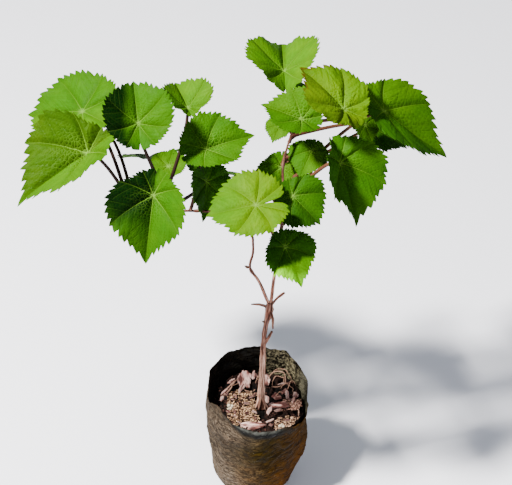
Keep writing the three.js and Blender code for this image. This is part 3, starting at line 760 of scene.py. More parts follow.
def blade_tint(leaf, x, y, shares, groove, pillow, seed):
    # The half tones and the end tone are partly the leaf's own green and partly painted light and shade: a
    # dark half stands for shade on the blade, a bright end for sunlight on it.
    left, right = (GREENS[tone] for tone in leaf["tones"])
    ragged = 5 * noise(x / 15, y / 15, seed + 2.0)
    green = blend(right, left, smooth(y - leaf["split"] + ragged, -6, 6))
    if leaf["end"]:
        tone, near, far = leaf["end"]
        green = blend(green, GREENS[tone], smooth(x / leaf["width"] + 0.04 * noise(y / 6, x / 6), near, far))
    # Lighter on the quilted bulges between the side veins and darker along their furrows: painted shade.
    green = green * (0.84 + 0.3 * pillow)[..., None]
    cloud = noise(x / 24, y / 24, seed * 1.7)
    mottle = noise(x / 7, y / 7, seed * 2.3)
    warm = green * np.array([1.25, 1.08, 0.8])
    cool = green * np.array([0.72, 0.88, 0.95])
    tint = blend(cool, warm, 0.5 + 0.38 * cloud + 0.2 * mottle)
    tint = blend(tint, green * np.array([1.5, 1.2, 1.3]), 0.35 * groove)
    tint = blend(tint, HUB_COLOUR, 0.7 * smooth(HUB_SPOT - np.hypot(x, y), 0, HUB_SPOT))
    off_tip = np.degrees(np.arctan2(np.abs(y), x))
    burnt = smooth(shares + 0.04 * noise(x / 5, y / 5, seed + 3.0), 0.9, 0.99) * smooth(42 - off_tip, 0, 12)
    return blend(tint, SCORCH, 0.8 * leaf["scorch"] * burnt)


STALK_COLOURS = {
    "left": ((0.016, 0.005, 0.003), (0.024, 0.01, 0.004)),
    "right": ((0.06, 0.018, 0.01), (0.11, 0.05, 0.02)),
}
STALK_SIDES = 12
STALK_STEPS = 28
STALK_CURVE_STEPS = 80
HUB_GAP = 0.5
STEM_SHADE = 0.3


def stalk_tube(line, radii, side, share, angle, seed):
    mixed = np.clip(share * 0.7 + 0.2 * noise(share * 9, angle * 0.8, seed), 0, 1)
    return tube(line, radii, blend(*STALK_COLOURS[side], mixed))


def stalk_part(leaf, root, side, seed):
    tip, _, face = leaf_axes(leaf)
    hub = leaf["hub"] - face * (BLADE / 2 + HUB_GAP)
    span = np.linalg.norm(leaf["hub"] - root)
    bend = leaf["hub"] - tip * APPROACH_BEHIND * span - face * APPROACH_BELOW * span
    t = np.linspace(0, 1, STALK_CURVE_STEPS)[:, None]
    line = even((1 - t) ** 2 * root + 2 * t * (1 - t) * bend + t * t * hub, STALK_STEPS)
    share, angle = lattice(STALK_STEPS, STALK_SIDES)
    swell = 0.5 * smooth(0.08 - share, 0, 0.08) - 0.6 * smooth(share, 0.93, 1)
    radii = PETIOLE_RADIUS * (lerp(1.3, 1.0, share) + swell) + 0.08 * np.sin(5 * angle)
    return stalk_tube(line, radii, side, share, angle, seed)


def mass_stem_part(stem, side, seed):
    share, angle = lattice(STALK_STEPS, STALK_SIDES)
    radii = lerp(*STEM_RADII, share) + 0.15 * np.sin(3 * angle + share * 8)
    radii = radii * np.sqrt(np.clip((1.04 - share) / 0.12, 0.05, 1))
    return stalk_tube(curve_points(stem, STALK_STEPS), radii, side, share * STEM_SHADE, angle, seed)


# Limbs, each with its line, stations along it from 0 to 1, and its radii there
LIMBS = {
    "trunk": (
        [(*TRUNK_FOOT, SOIL_LEVEL + 0.3), (4.6, -3, 119), (5.5, -3, 149), (6, -3, 173), (8.6, -2.4, 195),
         (12, -2, 215), (13, -2, 225)],
        [0, 0.05, 0.3, 0.6, 0.64, 0.8, 0.9, 0.94, 1], [5, 3.9, 3.3, 3, 2.5, 2.4, 4.2, 4.8, 3],
    ),
    "lower_spur": ([(6, -3, 171), (10, -4.6, 180), (15, -6, 192)], [0, 0.7, 1], [1.9, 1.5, 1.1]),
    "left_stub": ([(11, -2, 219), (3, -3, 223), (-6, -4, 224)], [0, 0.6, 1], [1.9, 1.2, 0.6]),
    "right_stub": ([(13, -2, 221), (20, -4, 232), (27, -6, 240)], [0, 0.5, 0.85, 1], [1.6, 1.2, 1.6, 1.2]),
    "hanging_stub": ([(13, -4, 216), (15.4, -7.5, 209), (16, -8.6, 197)], [0, 0.5, 1], [1.7, 1.4, 0.9]),
    "left_shoot_lower": (
        [(12, -2, 222), (1, -5, 255), (-7, -8, 272), (-4, -7, 289), (-4, -5, 305)],
        [0, 0.5, 0.56, 0.62, 1], [2.1, 1.7, 2.3, 1.6, 1.5],
    ),
    "left_shoot_upper": (
        [(-4, -5, 305.4), (-12, 2, 319), (-36, 8, 326), (-65, 12, 326), (-89, 14, 323), (-108, 14, 322)],
        [0, 0.54, 0.57, 0.6, 0.78, 0.81, 0.84, 1], [1.5, 1.5, 2.2, 1.5, 1.5, 2.1, 1.5, 1.4],
    ),
    "right_shoot_lower": (
        [(13.5, -2, 223), (17, -2, 258), (21, 0, 294), (27, 8, 341)],
        [0, 0.55, 0.59, 0.63, 1], [2.2, 1.8, 2.4, 1.7, 1.6],
    ),
    "right_shoot_upper": (
        [(27, 8, 341.4), (25, 24, 371), (34, 40, 401)],
        [0, 0.45, 0.5, 0.55, 1], [1.6, 1.4, 2, 1.4, 1.4],
    ),
}
# Bark: depth of its ridges, colours of its grooves, of its ridges low down and high up, heights where one
# colour gives way to the other, strength of its highlights, and its girth as a share of the solid's
OLD_BARK = {
    "depth": 0.6, "groove": np.array([0.045, 0.014, 0.008]), "low": np.array([0.42, 0.19, 0.12]),
    "high": np.array([0.25, 0.095, 0.062]), "turn": (125, 185), "shine": 0.9, "girth": 0.95,
}
YOUNG_BARK = {
    "depth": 0.22, "groove": np.array([0.06, 0.019, 0.012]), "low": np.array([0.38, 0.16, 0.105]),
    "high": np.array([0.09, 0.034, 0.022]), "turn": (245, 300), "shine": 0.3, "girth": 0.84,
}
BARK_HIGHLIGHT = np.array([0.76, 0.5, 0.38])
LIMB_STEP = 0.9
# The dark groove up the front of the trunk, and the height at its foot that is darkened as painted shade
GROOVE_ANGLE = 268
GROOVE_WIDTH = 17
GROOVE_TOP = 75
FOOT_SHADE_HEIGHT = 6
LIMB_COLUMNS = 36


def limb_part(name, bark, seed):
    line, stations, radii = LIMBS[name]
    groove = bark["groove"]
    length = run_along(curve_points(line, LIMB_LINE_STEPS))[-1]
    rows = int(length / LIMB_STEP)
    centres = curve_points(line, rows)
    share, angle = lattice(rows, LIMB_COLUMNS)
    run = share * length
    base = np.interp(share, stations, radii)
    x, y = np.cos(angle), np.sin(angle)
    ridge = 1 - 2 * np.abs(noise(x * 1.9 + seed, y * 1.9, run / 26))
    fine = noise(x * 5 + seed, y * 5, run / 11)
    knobs = noise(x * 1.3, y * 1.3 + seed, run / 4) * smooth(base, 3.6, 5)
    relief = bark["depth"] * (ridge - 0.7 + 0.35 * fine) + 0.9 * knobs
    reach = base * bark["girth"] * (1 + LIMB_LUMP * np.sin(3 * angle + share * 23)) + relief
    tone = np.clip(0.52 + 0.8 * (ridge - 0.35) + 0.35 * fine + 0.15 * noise(run / 17, seed * 1.0), 0, 1)
    # Darker in the hollows between the knobs: painted shade.
    dark = 0.65 * smooth(-knobs, 0.0, 0.35) * smooth(base, 3.6, 5)
    up = smooth(centres[:, 2], *bark["turn"])[:, None] + 0 * angle
    shade = blend(blend(groove, blend(bark["low"], bark["high"], up), tone), groove * 0.5, dark)
    shade = blend(shade, BARK_HIGHLIGHT, bark["shine"] * (1 - 0.6 * up) * smooth(tone, 0.75, 1))
    if name == "trunk":
        split = smooth(GROOVE_WIDTH - np.abs(np.degrees(angle) - GROOVE_ANGLE + 7 * np.sin(run / 9)), 0, 9)
        split = split * smooth(GROOVE_TOP - run, 0, 20)
        # The foot of the trunk darkened: painted shade where it goes down into a dark hollow of the mix.
        foot = 0.85 * smooth(FOOT_SHADE_HEIGHT - run, 0, FOOT_SHADE_HEIGHT)
        reach = reach - 0.9 * split
        shade = blend(shade, groove * 0.6, np.maximum(split, foot))
    return tube(centres, np.maximum(reach, 0.4), shade)


# Strips of bark that peel off the trunk: height of foot and top, side in degrees, width, and lift of each end
STRIPS = [
    (91.5, 168, 240, 2.4, 0.6, 0.0), (91.5, 146, 304, 2.6, 2.6, 0.0), (93, 126, 204, 2.4, 2.4, 0.2),
    (92, 120, 340, 2.8, 3.2, 0.1), (138, 172, 284, 1.6, 0.1, 0.5), (108, 150, 90, 3.0, 0.6, 0.3),
    (98, 140, 150, 2.4, 0.6, 0.3), (118, 160, 30, 2.2, 0.4, 0.4),
]
STRIP_STEPS = 46
STRIP_LINE_STEPS = 300
STRIP_SIDES = 14
STRIP_THICKNESS = 0.35
STRIP_COLOURS = ((0.12, 0.04, 0.024), (0.66, 0.42, 0.31), (0.4, 0.18, 0.12))


def strip_part(strip, seed):
    foot, top, turn, width, foot_lift, top_lift = strip
    line, stations, radii = LIMBS["trunk"]
    centres = curve_points(line, STRIP_LINE_STEPS)
    heights = np.linspace(foot, top, STRIP_STEPS)
    share = np.interp(heights, centres[:, 2], np.linspace(0, 1, len(centres)))
    part = np.linspace(0, 1, STRIP_STEPS)
    lift = foot_lift * smooth(0.45 - part, 0, 0.45) ** 1.4 + top_lift * smooth(part, 0.6, 1) ** 1.4
    sway = math.radians(turn) + 0.16 * np.sin(part * 5 + seed)
    outward = np.stack([np.cos(sway), np.sin(sway), 0 * sway], axis=-1)
    off = np.interp(share, stations, radii) - 0.45 + lift
    path = at_places(heights, centres[:, 2], centres) + outward * off[:, None]
    taper = np.sqrt(np.clip(np.minimum(part / 0.08, (1 - part) / 0.12), 0.05, 1))
    widths = (width / 2 * taper * (1 + 0.25 * noise(part * 9, seed * 1.0)))[:, None]
    streak = smooth(noise(np.sin(round_angles(STRIP_SIDES)) * 2.2 + seed, part[:, None] * 2.4), -0.4, 0.6)
    dark, pale_low, pale_high = STRIP_COLOURS
    up = smooth(heights, *OLD_BARK["turn"])[:, None] + 0 * streak
    shade = blend(dark, blend(pale_low, pale_high, up), streak)
    return tube(path, widths, shade, np.full_like(widths, STRIP_THICKNESS), outward[0])


# Buds on the shoots: place, direction and length
BUDS = [
    ((-8.5, -9, 273), (-0.8, -0.2, 0.6), 5), ((20, -1.5, 289), (0.8, -0.3, 0.5), 5),
    ((-64, 11, 327.5), (-0.2, -0.4, 0.9), 5), ((-88, 13, 324.5), (-0.3, -0.5, 0.8), 5),
    ((26.5, 28, 372), (0.9, -0.2, 0.4), 4.5), ((8, -3, 201), (-0.8, -0.3, 0.5), 4),
]
BUD_STEPS = 12
BUD_COLOURS = ((0.08, 0.03, 0.02), (0.2, 0.1, 0.06))


def bud_part(bud, seed):
    place, heading, length = bud
    part = np.linspace(0, 1, BUD_STEPS)[:, None]
    line = np.array(place) + np.array(heading) / np.linalg.norm(heading) * part * length
    radii = 0.3 * length * np.sqrt(np.clip(1 - part, 0.02, 1)) * (0.75 + 2 * part * (1 - part))
    wave = 0.5 + 0.5 * np.sin(2 * round_angles(STALK_SIDES) + part * 9 + seed)
    return tube(line, radii, blend(*BUD_COLOURS, wave))


# The bag
def around(values, turn):
    """Value between evenly spaced entries of a list that closes on itself."""
    place = turn % 1 * len(values)
    index = np.floor(place).astype(int)
    values = np.array(values, float)
    return lerp(values[index % len(values)], values[(index + 1) % len(values)], eased(place - index))


def solid_radius(angle, height):
    sway = np.sin(angle * 5 + height * 0.045) + 0.6 * np.sin(angle * 9 - height * 0.07 + 1.3)
    risen = (height - BAG_HEIGHTS[-1]) / (LIP_TOP - BAG_HEIGHTS[-1])
    upper = lerp(BAG_RADII[-1], LIP_RADIUS, risen)
    near = [np.interp(height + step, BAG_HEIGHTS, BAG_RADII) for step in (-2, 0, 2)]
    round_foot = lerp(near[1], np.mean(near, axis=0), smooth(height, 0, 6))
    drawn = FOOT_DRAW * np.maximum(0, np.cos(angle)) ** 2 * (1 - smooth(height, 0, FOOT_DRAW_TOP))
    smooth_wall = np.where(height <= BAG_HEIGHTS[-1], round_foot, upper)
    return smooth_wall + CREASE_DEPTH * sway * smooth(height, 6, 40) - drawn


def crease_line(angle, height):
    """A height that is the same all along one crease: creases sag at the front and waver round the bag."""
    front = CREASE_DROOP * np.cos(angle + math.pi / 2)
    return height + front + 3 * np.sin(angle * 3 + 0.7) + 1.4 * np.sin(angle * 8 + 2)


def creases(angle, height):
    """From -1 to 1: thin sharp valleys between rounded ridges, broken along their length."""
    x, y = np.cos(angle), np.sin(angle)
    line = crease_line(angle, height)
    coarse = np.abs(noise(x * 3.4, y * 3.4 + 7, line / CREASE_SPACING))
    fine = np.abs(noise(x * 7 + 3, y * 7, line / (0.5 * CREASE_SPACING)))
    return np.clip(1.9 * coarse + 0.9 * fine - 0.8, -1, 1)


def wrinkles(angle, height):
    """How far the film stands out or in: sagging folds round the bag, and gathers at the mouth."""
    x, y = np.cos(angle), np.sin(angle)
    folds = 1 - 2.4 * np.abs(noise(x * 1.5 + 4, y * 1.5, crease_line(angle, height) / 12))
    pleats = noise(x * 7 + 2, y * 7, height / 40) * smooth(height, 65, 97)
    bumps = noise(x * 13, y * 13 + 3, height / 7)
    slack = 1 - 2.4 * np.abs(noise(x * 2.1 + 9, y * 2.1, (height + 22 * np.sin(2 * angle)) / 17))
    total = 0.9 * folds + 0.8 * slack + 0.35 * creases(angle, height) + 0.9 * pleats + 0.3 * bumps
    return total * smooth(height, 1, 9)


def film_radius(angle, height):
    turn = np.degrees(angle) % 360
    mouth = np.interp(turn, MOUTH_ANGLES, MOUTH_RADII)
    below_lip = smooth(height, 84, 96) * smooth(around(LIP_HEIGHTS, turn / 360) - height, 0, 14)
    pinch = PINCH_DEPTH * np.exp(-((turn - PINCH_ANGLE) / PINCH_WIDTH) ** 2) * below_lip
    round_bag = lerp(solid_radius(angle, height), mouth, smooth(height, MOUTH_STARTS, MOUTH_SET))
    return round_bag + wrinkles(angle, height) - pinch


def lip_height(angle):
    x, y = np.cos(angle), np.sin(angle)
    ragged = 0.9 * noise(x * 9, y * 9) + 0.5 * noise(x * 30, y * 30)
    return around(LIP_HEIGHTS, angle / (2 * math.pi)) + ragged - 0.4


# Tints of the film. The tint for the right side is partly brown dirt and partly painted warm light, the
# flap's tint is partly painted sunlight, and the blue band's tint is brightened along the front rim as a
# painted highlight.
FILM_TINTS = {
    "grey": (0.05, 0.038, 0.0265),
    "olive": (0.021, 0.0125, 0.0006),
    "rust_and_warm_light": (0.048, 0.0175, 0.001),
    "moss": (0.29, 0.255, 0.155),
    "flap": (0.2, 0.19, 0.13),
    "blue": (0.0085, 0.009, 0.008),
}


def inner_shade(angle, height):
    """Algae inside the mouth, most of all on the flap at the right, with their amount as alpha; none along
    the pinch, which is painted shadow.
    """
    x, y = np.cos(angle), np.sin(angle)
    turn = np.degrees(angle) % 360
    cloud = noise(x * 2.4 + 3, y * 2.4, height / 22)
    speckle = 0.8 * noise(x * 34, y * 34, height / 1.3) + 0.8 * noise(x * 60 + 9, y * 60, height / 0.8)
    # Along the pinch no algae are drawn, so the black film there is a painted shadow behind the pleat.
    pinch_painted_shadow = np.exp(-((turn - PINCH_ANGLE - 3) / 6) ** 2)
    mossy = smooth(turn, 0, 12) * smooth(84 - turn, 0, 16) * (1 - 0.85 * pinch_painted_shadow)
    flap = smooth(31 - turn, 0, 4) + smooth(turn, 352, 360)
    moss = blend(FILM_TINTS["olive"], FILM_TINTS["moss"], smooth(speckle, -0.6, 0.4))
    # The flap at the right is pale grey-green, partly its own algae and partly painted sunlight.
    moss = blend(moss, FILM_TINTS["flap"] * (1 + 0.3 * cloud)[..., None], 0.8 * flap)
    dust = mossy * smooth(speckle + 0.5 * cloud, -0.6, 0.6)
    return with_alpha(moss, np.maximum(dust, 0.85 * flap) + 0.02)


def outer_shade(angle, height):
    """Dust outside: grey at the left, dirt and painted warm light at the right and below, less in a band
    under the front rim.
    """
    x, y = np.cos(angle), np.sin(angle)
    cloud = noise(x * 2.4 + 3, y * 2.4, height / 22)
    line = crease_line(angle, height)
    crease = creases(angle, height)
    streak = noise(x * 5, y * 5 + 1, line / 4)
    left, right = smooth(-x, -0.25, 0.8), smooth(x, 0.1, 0.9)
    low = smooth(75 - height, 0, 60)
    tint = blend(FILM_TINTS["olive"], FILM_TINTS["grey"], np.clip(left + 0.3 * cloud * (1 - right), 0, 1))
    # Brown at the right and below: partly dirt on the film and partly painted warm light on its right side.
    rust_and_warm_light_share = right * (0.7 + 0.3 * low) + 0.5 * low * (1 - left)
    rust_and_warm_light_share = rust_and_warm_light_share * (1 - 0.6 * smooth(y, -0.55, 0.1)) + 0.15 * streak
    tint = blend(tint, FILM_TINTS["rust_and_warm_light"], np.clip(rust_and_warm_light_share, 0, 1))
    grit = noise(x * 45, y * 45, line / 0.7) * (0.25 + 0.75 * left)
    light = 1.4 - 0.05 * left + 0.3 * crease + 0.2 * streak + 0.35 * cloud + 0.5 * grit + 1.2 * left * low
    lip = around(LIP_HEIGHTS, angle / (2 * math.pi))
    # A darker band under the front rim, where less dust is drawn, with a painted highlight along the rim
    # itself.
    band = smooth(height + 2.5 * noise(x * 9, y * 9), lip - 8, lip - 2) * smooth(-y, 0.5, 0.95)
    rim = smooth(height, lip - 1.5, lip + 1) * smooth(-y, 0.8, 0.97)
    tint = blend(tint * light[..., None], FILM_TINTS["blue"] * (1 + 7 * rim)[..., None], band)
    behind = smooth(y, -0.1, 0.5)
    dust = np.clip(0.8 + 0.2 * left * (1 - 0.6 * behind) + 0.2 * cloud + 0.14 * crease, 0.1, 1)
    return with_alpha(tint, lerp(dust, 0.55, band))


def bag_part():
    """The film in one run of rows: underside, outside, rolled lip and inside down to below the mix."""
    angle = round_angles(BAG_COLUMNS)
    lip = lip_height(angle)
    outer_heights = lip * np.linspace(0, 1, BAG_ROWS)[:, None]
    outer_radii = film_radius(angle, outer_heights)
    roll = smooth(-np.sin(angle), 0.35, 0.8) * smooth(np.cos(angle), -0.6, -0.2)
    size = FILM / 2 + ROLL_RADIUS * roll
    turns = np.linspace(0, 1, ROLL_STEPS)[1:-1, None] * math.pi
    down = np.linspace(0, 1, INNER_ROWS)[:, None]
    inner_heights = lip - INNER_DEPTH * down
    inner_radii = film_radius(angle, inner_heights) - lerp(2 * size, FILM, smooth(down, 0, 0.12))
    floor_radii = 0 * angle + np.array(BAG_FLOOR_RADII)[:, None]
    roll_radii = outer_radii[-1] - size + np.cos(turns) * size
    radii = np.concatenate([floor_radii, outer_radii, roll_radii, inner_radii])
    heights = np.concatenate([floor_radii * 0, outer_heights, lip + np.sin(turns) * size, inner_heights])
    shade = np.concatenate([
        outer_shade(angle, heights[:-INNER_ROWS]),
        inner_shade(angle, heights[-INNER_ROWS:]),
    ])
    around_bag = unrolled(BAG_COLUMNS)
    maps = {
        "grain": sheet(around_bag * FILM_GRAIN_ROUND, beside(crease_line(angle, heights) / MAP_UNIT)),
        "OFBake": sheet(around_bag, down_rows(np.linspace(0, 1, len(radii)))),
    }
    points = np.stack([radii * np.cos(angle), radii * np.sin(angle), heights], axis=-1)
    return shell(points, shade, maps, ((0, 0, 0), shade[0, 0]))


# The potting mix, with the dark hollows in it where no grains lie, their near black painted shade: place and
# radius
HOLLOWS = [
    ((3, -9), 6), ((5, -17), 5), ((13, -22), 5), ((20, -18), 4.5), ((27, -15), 4.5), ((34, -12), 4),
    ((40, -8), 4), ((46, -4), 3.5), ((15, 10), 7), ((22, 19), 9), ((4, 22), 6), ((-22, 27), 7), ((-6, 24), 6),
    ((-34, -10), 3.5), ((34, 22), 7), ((-32, 30), 6), ((12, 34), 7), ((22, 8), 5), ((2, 12), 4),
    ((-38, 8), 5), ((27, 32), 6),
]
HOLLOW_DEPTH = 4
SOIL_MAP_REACH = 52
SOIL_COLUMNS = 220
SOIL_SHARES = np.concatenate([[0.02], np.linspace(0.05, 0.97, 66), [1.0]])
SOIL_SKIRT = [4, 10, 18]
SOIL_DAMP_AND_SHADE = np.array([0.0015, 0.0009, 0.0008])
SOIL_BROWN = np.array([0.024, 0.011, 0.008])


def from_trunk(x, y):
    return np.hypot(x - TRUNK_FOOT[0], y - TRUNK_FOOT[1])


def mix_rim(angle):
    """How far the mix reaches inside the film."""
    return solid_radius(angle, BAG_HEIGHTS[-1]) - FILM_ROOM - SOIL_CLEARANCE


def soil_height(x, y):
    back = SOIL_RISE_AT_BACK * smooth(y, -5, 45)
    sunk_left = smooth(-x, 24, 46) * smooth(30 - y, 0, 20)
    swell = np.sin(x * 0.31 + 1) * np.cos(y * 0.27)
    ripple = 0.5 * np.sin(x * 0.55 - y * 0.4)
    clear = smooth(from_trunk(x, y), TRUNK_SEAT_RADIUS, TRUNK_SEAT_RADIUS * 2)
    return SOIL_LEVEL + clear * (back - SOIL_DIP_AT_LEFT * sunk_left + SOIL_LUMP * (swell + ripple))


def mix_lumps(x, y):
    return 1.5 * noise(x / 5, y / 5) + 0.8 * noise(x / 2.2, y / 2.2)


def hollow_share(x, y):
    share = 0 * x
    for (middle_x, middle_y), radius in HOLLOWS:
        off = np.hypot(x - middle_x, y - middle_y) + 1.2 * noise(x / 3, y / 3, 2.0)
        share = np.maximum(share, smooth(radius - off, 0, 1.6))
    return share


def soil_part():
    """The ground of the mix with its hollows, painted dark as shade, and a skirt that goes down beside the
    film.
    """
    angle = round_angles(SOIL_COLUMNS)
    rim = mix_rim(angle)
    x = lerp(TRUNK_FOOT[0], rim * np.cos(angle), SOIL_SHARES[:, None])
    y = lerp(TRUNK_FOOT[1], rim * np.sin(angle), SOIL_SHARES[:, None])
    lumps = mix_lumps(x, y) + 0.35 * noise(x / 0.9, y / 0.9)
    seat = smooth(from_trunk(x, y), 5, 9)
    z = soil_height(x, y) + lumps * (0.3 + 0.7 * seat) - 0.6 - HOLLOW_DEPTH * hollow_share(x, y) * seat
    skirt = np.array(SOIL_SKIRT)[:, None]
    x, y = np.concatenate([x, x[-1] + 0 * skirt]), np.concatenate([y, y[-1] + 0 * skirt])
    z = np.concatenate([z, z[-1] - skirt])
    damp = np.clip(0.3 + 0.4 * noise(x / 9, y / 9, 4.0) + 0.4 * noise(x / 3, y / 3, 8.0), 0, 1)
    # Darker where the mix is damp, and near black in the hollows: painted shade.
    shade = with_alpha(blend(SOIL_DAMP_AND_SHADE, SOIL_BROWN, damp * (1 - hollow_share(x, y))), 1.0)
    plan = sheet(*(beside(value / (2 * SOIL_MAP_REACH) + 0.5) for value in (x, y)),
                 np.array(TRUNK_FOOT) / (2 * SOIL_MAP_REACH) + 0.5)
    middle = (*TRUNK_FOOT, SOIL_LEVEL)
    return shell(np.stack([x, y, z], axis=-1), shade, {"OFBake": plan}, (middle, shade[0, 0]), inward=True)


def grain_shape():
    """Points and triangles of a small rounded stone: an octahedron with its edges split."""
    axes = ((1, 0, 0), (0, 1, 0), (-1, 0, 0), (0, -1, 0), (0, 0, 1), (0, 0, -1))
    points = [np.array(axis, float) for axis in axes]
    faces = [(0, 1, 4), (1, 2, 4), (2, 3, 4), (3, 0, 4), (1, 0, 5), (2, 1, 5), (3, 2, 5), (0, 3, 5)]
    halves = {}

    def half(a, b):
        key = (min(a, b), max(a, b))
        if key not in halves:
            middle = points[a] + points[b]
            points.append(middle / np.linalg.norm(middle))
            halves[key] = len(points) - 1
        return halves[key]

    split = []
    for a, b, c in faces:
        ab, bc, ca = half(a, b), half(b, c), half(c, a)
        split += [(a, ab, ca), (b, bc, ab), (c, ca, bc), (ab, bc, ca)]
    return np.array(points), np.array(split)


# Loose grains on the mix: count, sizes, flatness, length, area as low and high x, low and high y, two colours
GRAINS = {
    "crumbs": (1500, (0.8, 2.4), 0.7, 1.3, (-48, 48, -48, 48), (0.006, 0.003, 0.0025), (0.06, 0.026, 0.02)),
    "golden_flakes": (900, (0.8, 1.8), 0.4, 2.8, (-30, 3, -32, 20), (0.04, 0.015, 0.007), (0.62, 0.4, 0.24)),
    "lower_flakes": (480, (0.8, 1.8), 0.4, 2.6, (18, 48, -38, -16), (0.04, 0.015, 0.007), (0.62, 0.4, 0.26)),
    "pink_grains": (1300, (0.8, 1.5), 0.7, 1.5, (24, 48, -6, 8), (0.1, 0.028, 0.018), (0.95, 0.56, 0.42)),
}
# Single pale lumps, by place and size
PALE_LUMPS = [
    ((-28.8, 1.6), 2.2), ((-26.6, -2.4), 2.0), ((-25.2, 1), 1.6), ((-29.2, -1.6), 1.5), ((23.6, -31.5), 2),
    ((26.6, -33), 1.7), ((25.4, -30), 1.3),
]
GRAIN_SEED = 11
PALE_COLOUR = (0.5, 0.44, 0.33)
CLEAR_OF_TRUNK = 5.5
CLEAR_OF_FILM = 1.5
CLEAR_OF_HOLLOWS = 0.15


def turned(points, about_x, about_y, about_z):
    """Points turned about X, then about Y, then about Z, in radians."""
    axes = [points[..., axis] for axis in range(3)]
    for (first, second), angle in zip(((1, 2), (2, 0), (0, 1)), (about_x, about_y, about_z)):
        level, upright = axes[first], axes[second]
        axes[first] = level * np.cos(angle) - upright * np.sin(angle)
        axes[second] = level * np.sin(angle) + upright * np.cos(angle)
    return np.stack(axes, axis=-1)


def scatter(places, sizes, flat, long, tints, generator):
    """Grains of one kind as one part, each turned and dented its own way."""
    points, faces = grain_shape()
    count = len(places)
    dents = 1 + 0.22 * generator.uniform(-1, 1, (count, len(points), 1))
    spin = generator.uniform(0, 2 * math.pi, (count, 1))
    tilt = generator.uniform(-0.7, 0.7, (count, 1))
    shapes = turned(points * dents * np.array([long, 1, flat]), 0, tilt, spin)
    spots = shapes * sizes[:, None, None] + places[:, None]
    return {
        "points": spots.reshape(-1, 3), "quads": np.zeros((0, 4), int),
        "triangles": (faces + np.arange(count)[:, None, None] * len(points)).reshape(-1, 3),
        "tint": with_alpha(np.repeat(tints, len(points), axis=0), 1.0), "maps": {},
    }


def grain_parts():
    generator = np.random.default_rng(GRAIN_SEED)
    parts = []
    for count, (small, large), flat, long, (x0, x1, y0, y1), dark, light in GRAINS.values():
        x, y = generator.uniform((x0, y0), (x1, y1), (count, 2)).T
        kept = np.hypot(x, y) < mix_rim(np.arctan2(y, x)) - CLEAR_OF_FILM
        kept &= (from_trunk(x, y) > CLEAR_OF_TRUNK) & (hollow_share(x, y) < CLEAR_OF_HOLLOWS)
        x, y = x[kept], y[kept]
        sizes = generator.uniform(small, large, len(x)) / 2
        places = np.column_stack([x, y, soil_height(x, y) + mix_lumps(x, y) + sizes * 0.2])
        tints = blend(dark, light, generator.uniform(0, 1, len(x)) ** 1.4)
        parts.append(scatter(places, sizes, flat, long, tints, generator))
    x, y = np.array([place for place, _ in PALE_LUMPS]).T
    sizes = np.array([size for _, size in PALE_LUMPS])
    places = np.column_stack([x, y, soil_height(x, y) + sizes * 0.4])
    parts.append(scatter(places, sizes, 0.8, 1.1, np.tile(PALE_COLOUR, (len(x), 1)), generator))
    return parts


# Flakes of bark on the mix: place, lift of the middle, length and width, curl, turn about X, Y and Z in
# degrees, seed, and how dark they are
FLAKES = {
    "bark_flake_back_left": ((-13, 31), 5, (22, 14), 0.04, (0, -56, 96), 76, 0),
    "bark_flake_left": ((-32, 20), 2.4, (20, 5), 0, (0, -10, 46), 84, 0.5),
    "bark_flake_front": ((-3, -32), 2.4, (30, 14), -0.1, (10, 3, 3), 55, 0),
    "bark_flake_right": ((20, -3), 3, (25, 11), 0.05, (22, -4, -9), 84, 0.05),
    "bark_flake_far_right": ((39, 12), 4, (11, 7), 0, (10, -56, 90), 86, 0.1),
    "bark_flake_behind_stem": ((9, 29), 5, (19, 9), 0.1, (0, -56, 84), 86, 0.1),
    "bark_curl_back": ((30, 27), 4, (18, 4), 0, (20, 8, 26), 88, 0.5),
}
FLAKE_CORNERS = 7
FLAKE_COLUMNS = 72
FLAKE_ROWS = 12
FLAKE_THICKNESS = 2.2
# Colours of a flake: pink, tan, and a dark one that is painted shade in the ridge valleys, along the edge and
# on the underside, and that also darkens whole flakes by their tone.
FLAKE_COLOURS = ((0.22, 0.09, 0.075), (0.6, 0.41, 0.36), (0.03, 0.009, 0.008))
# Splinters that stand up from the mix or lie on it: place, lift, length and width, turn, and how dark
SPLINTERS = [
    ((31, 9), 5, (13, 5), (10, -66, 80), 0.0), ((11, 6), 4, (14, 5), (0, -62, 92), 0.0),
    ((-4, 33), 8, (12, 5), (0, -66, 80), 0.0), ((37, 4), 4, (10, 4), (0, -50, 60), 0.1),
    ((-15, 21), 3, (14, 6), (0, -30, 60), 0.6), ((20, 13), 2, (13, 9), (10, 10, 30), 0.85),
    ((28, 17), 2, (11, 7), (-20, 0, 70), 0.8), ((12, -24), 2, (14, 4), (0, -12, 24), 0.5),
    ((12.5, -10), 2, (13, 6), (12, -8, 64), 0.25),
    ((-25, 30), 3, (12, 6), (30, 0, 40), 0.3), ((-36, 12), 2, (10, 5), (20, 0, 60), 0.5),
]
CHIP_COUNT = 26
CHIP_SEED = 23
CHIP_LENGTHS = (4, 10)
CHIP_LEAN = 28
CHIP_AREA = 44
CHIP_LIMIT = 45
CHIP_CLEAR_OF_TRUNK = 9
CHIP_CLEAR_OF_HOLLOWS = 0.3
CHIP_LIFT = 1.2
# Columns, rows and thickness of a chip and of a splinter
CHIP_MESH = (30, 6, 1.4)
SPLINTER_MESH = (36, 8, 1.6)


def shard_outline(angle, seed):
    """Reach of a straight-sided broken outline at each angle, as a share of its size."""
    corner = np.arange(FLAKE_CORNERS)
    turns = (corner + 0.75 * chance(seed + corner)) / FLAKE_CORNERS * 2 * math.pi
    radii = lerp(0.3, 0.62, chance(seed + 50 + corner))
    first = (np.searchsorted(turns, angle, side="right") - 1) % FLAKE_CORNERS
    second = (first + 1) % FLAKE_CORNERS
    gap = (turns[second] - turns[first]) % (2 * math.pi)
    off = (angle - turns[first]) % (2 * math.pi)
    low, high = radii[first], radii[second]
    return low * high * np.sin(gap) / (low * np.sin(off) + high * np.sin(gap - off))


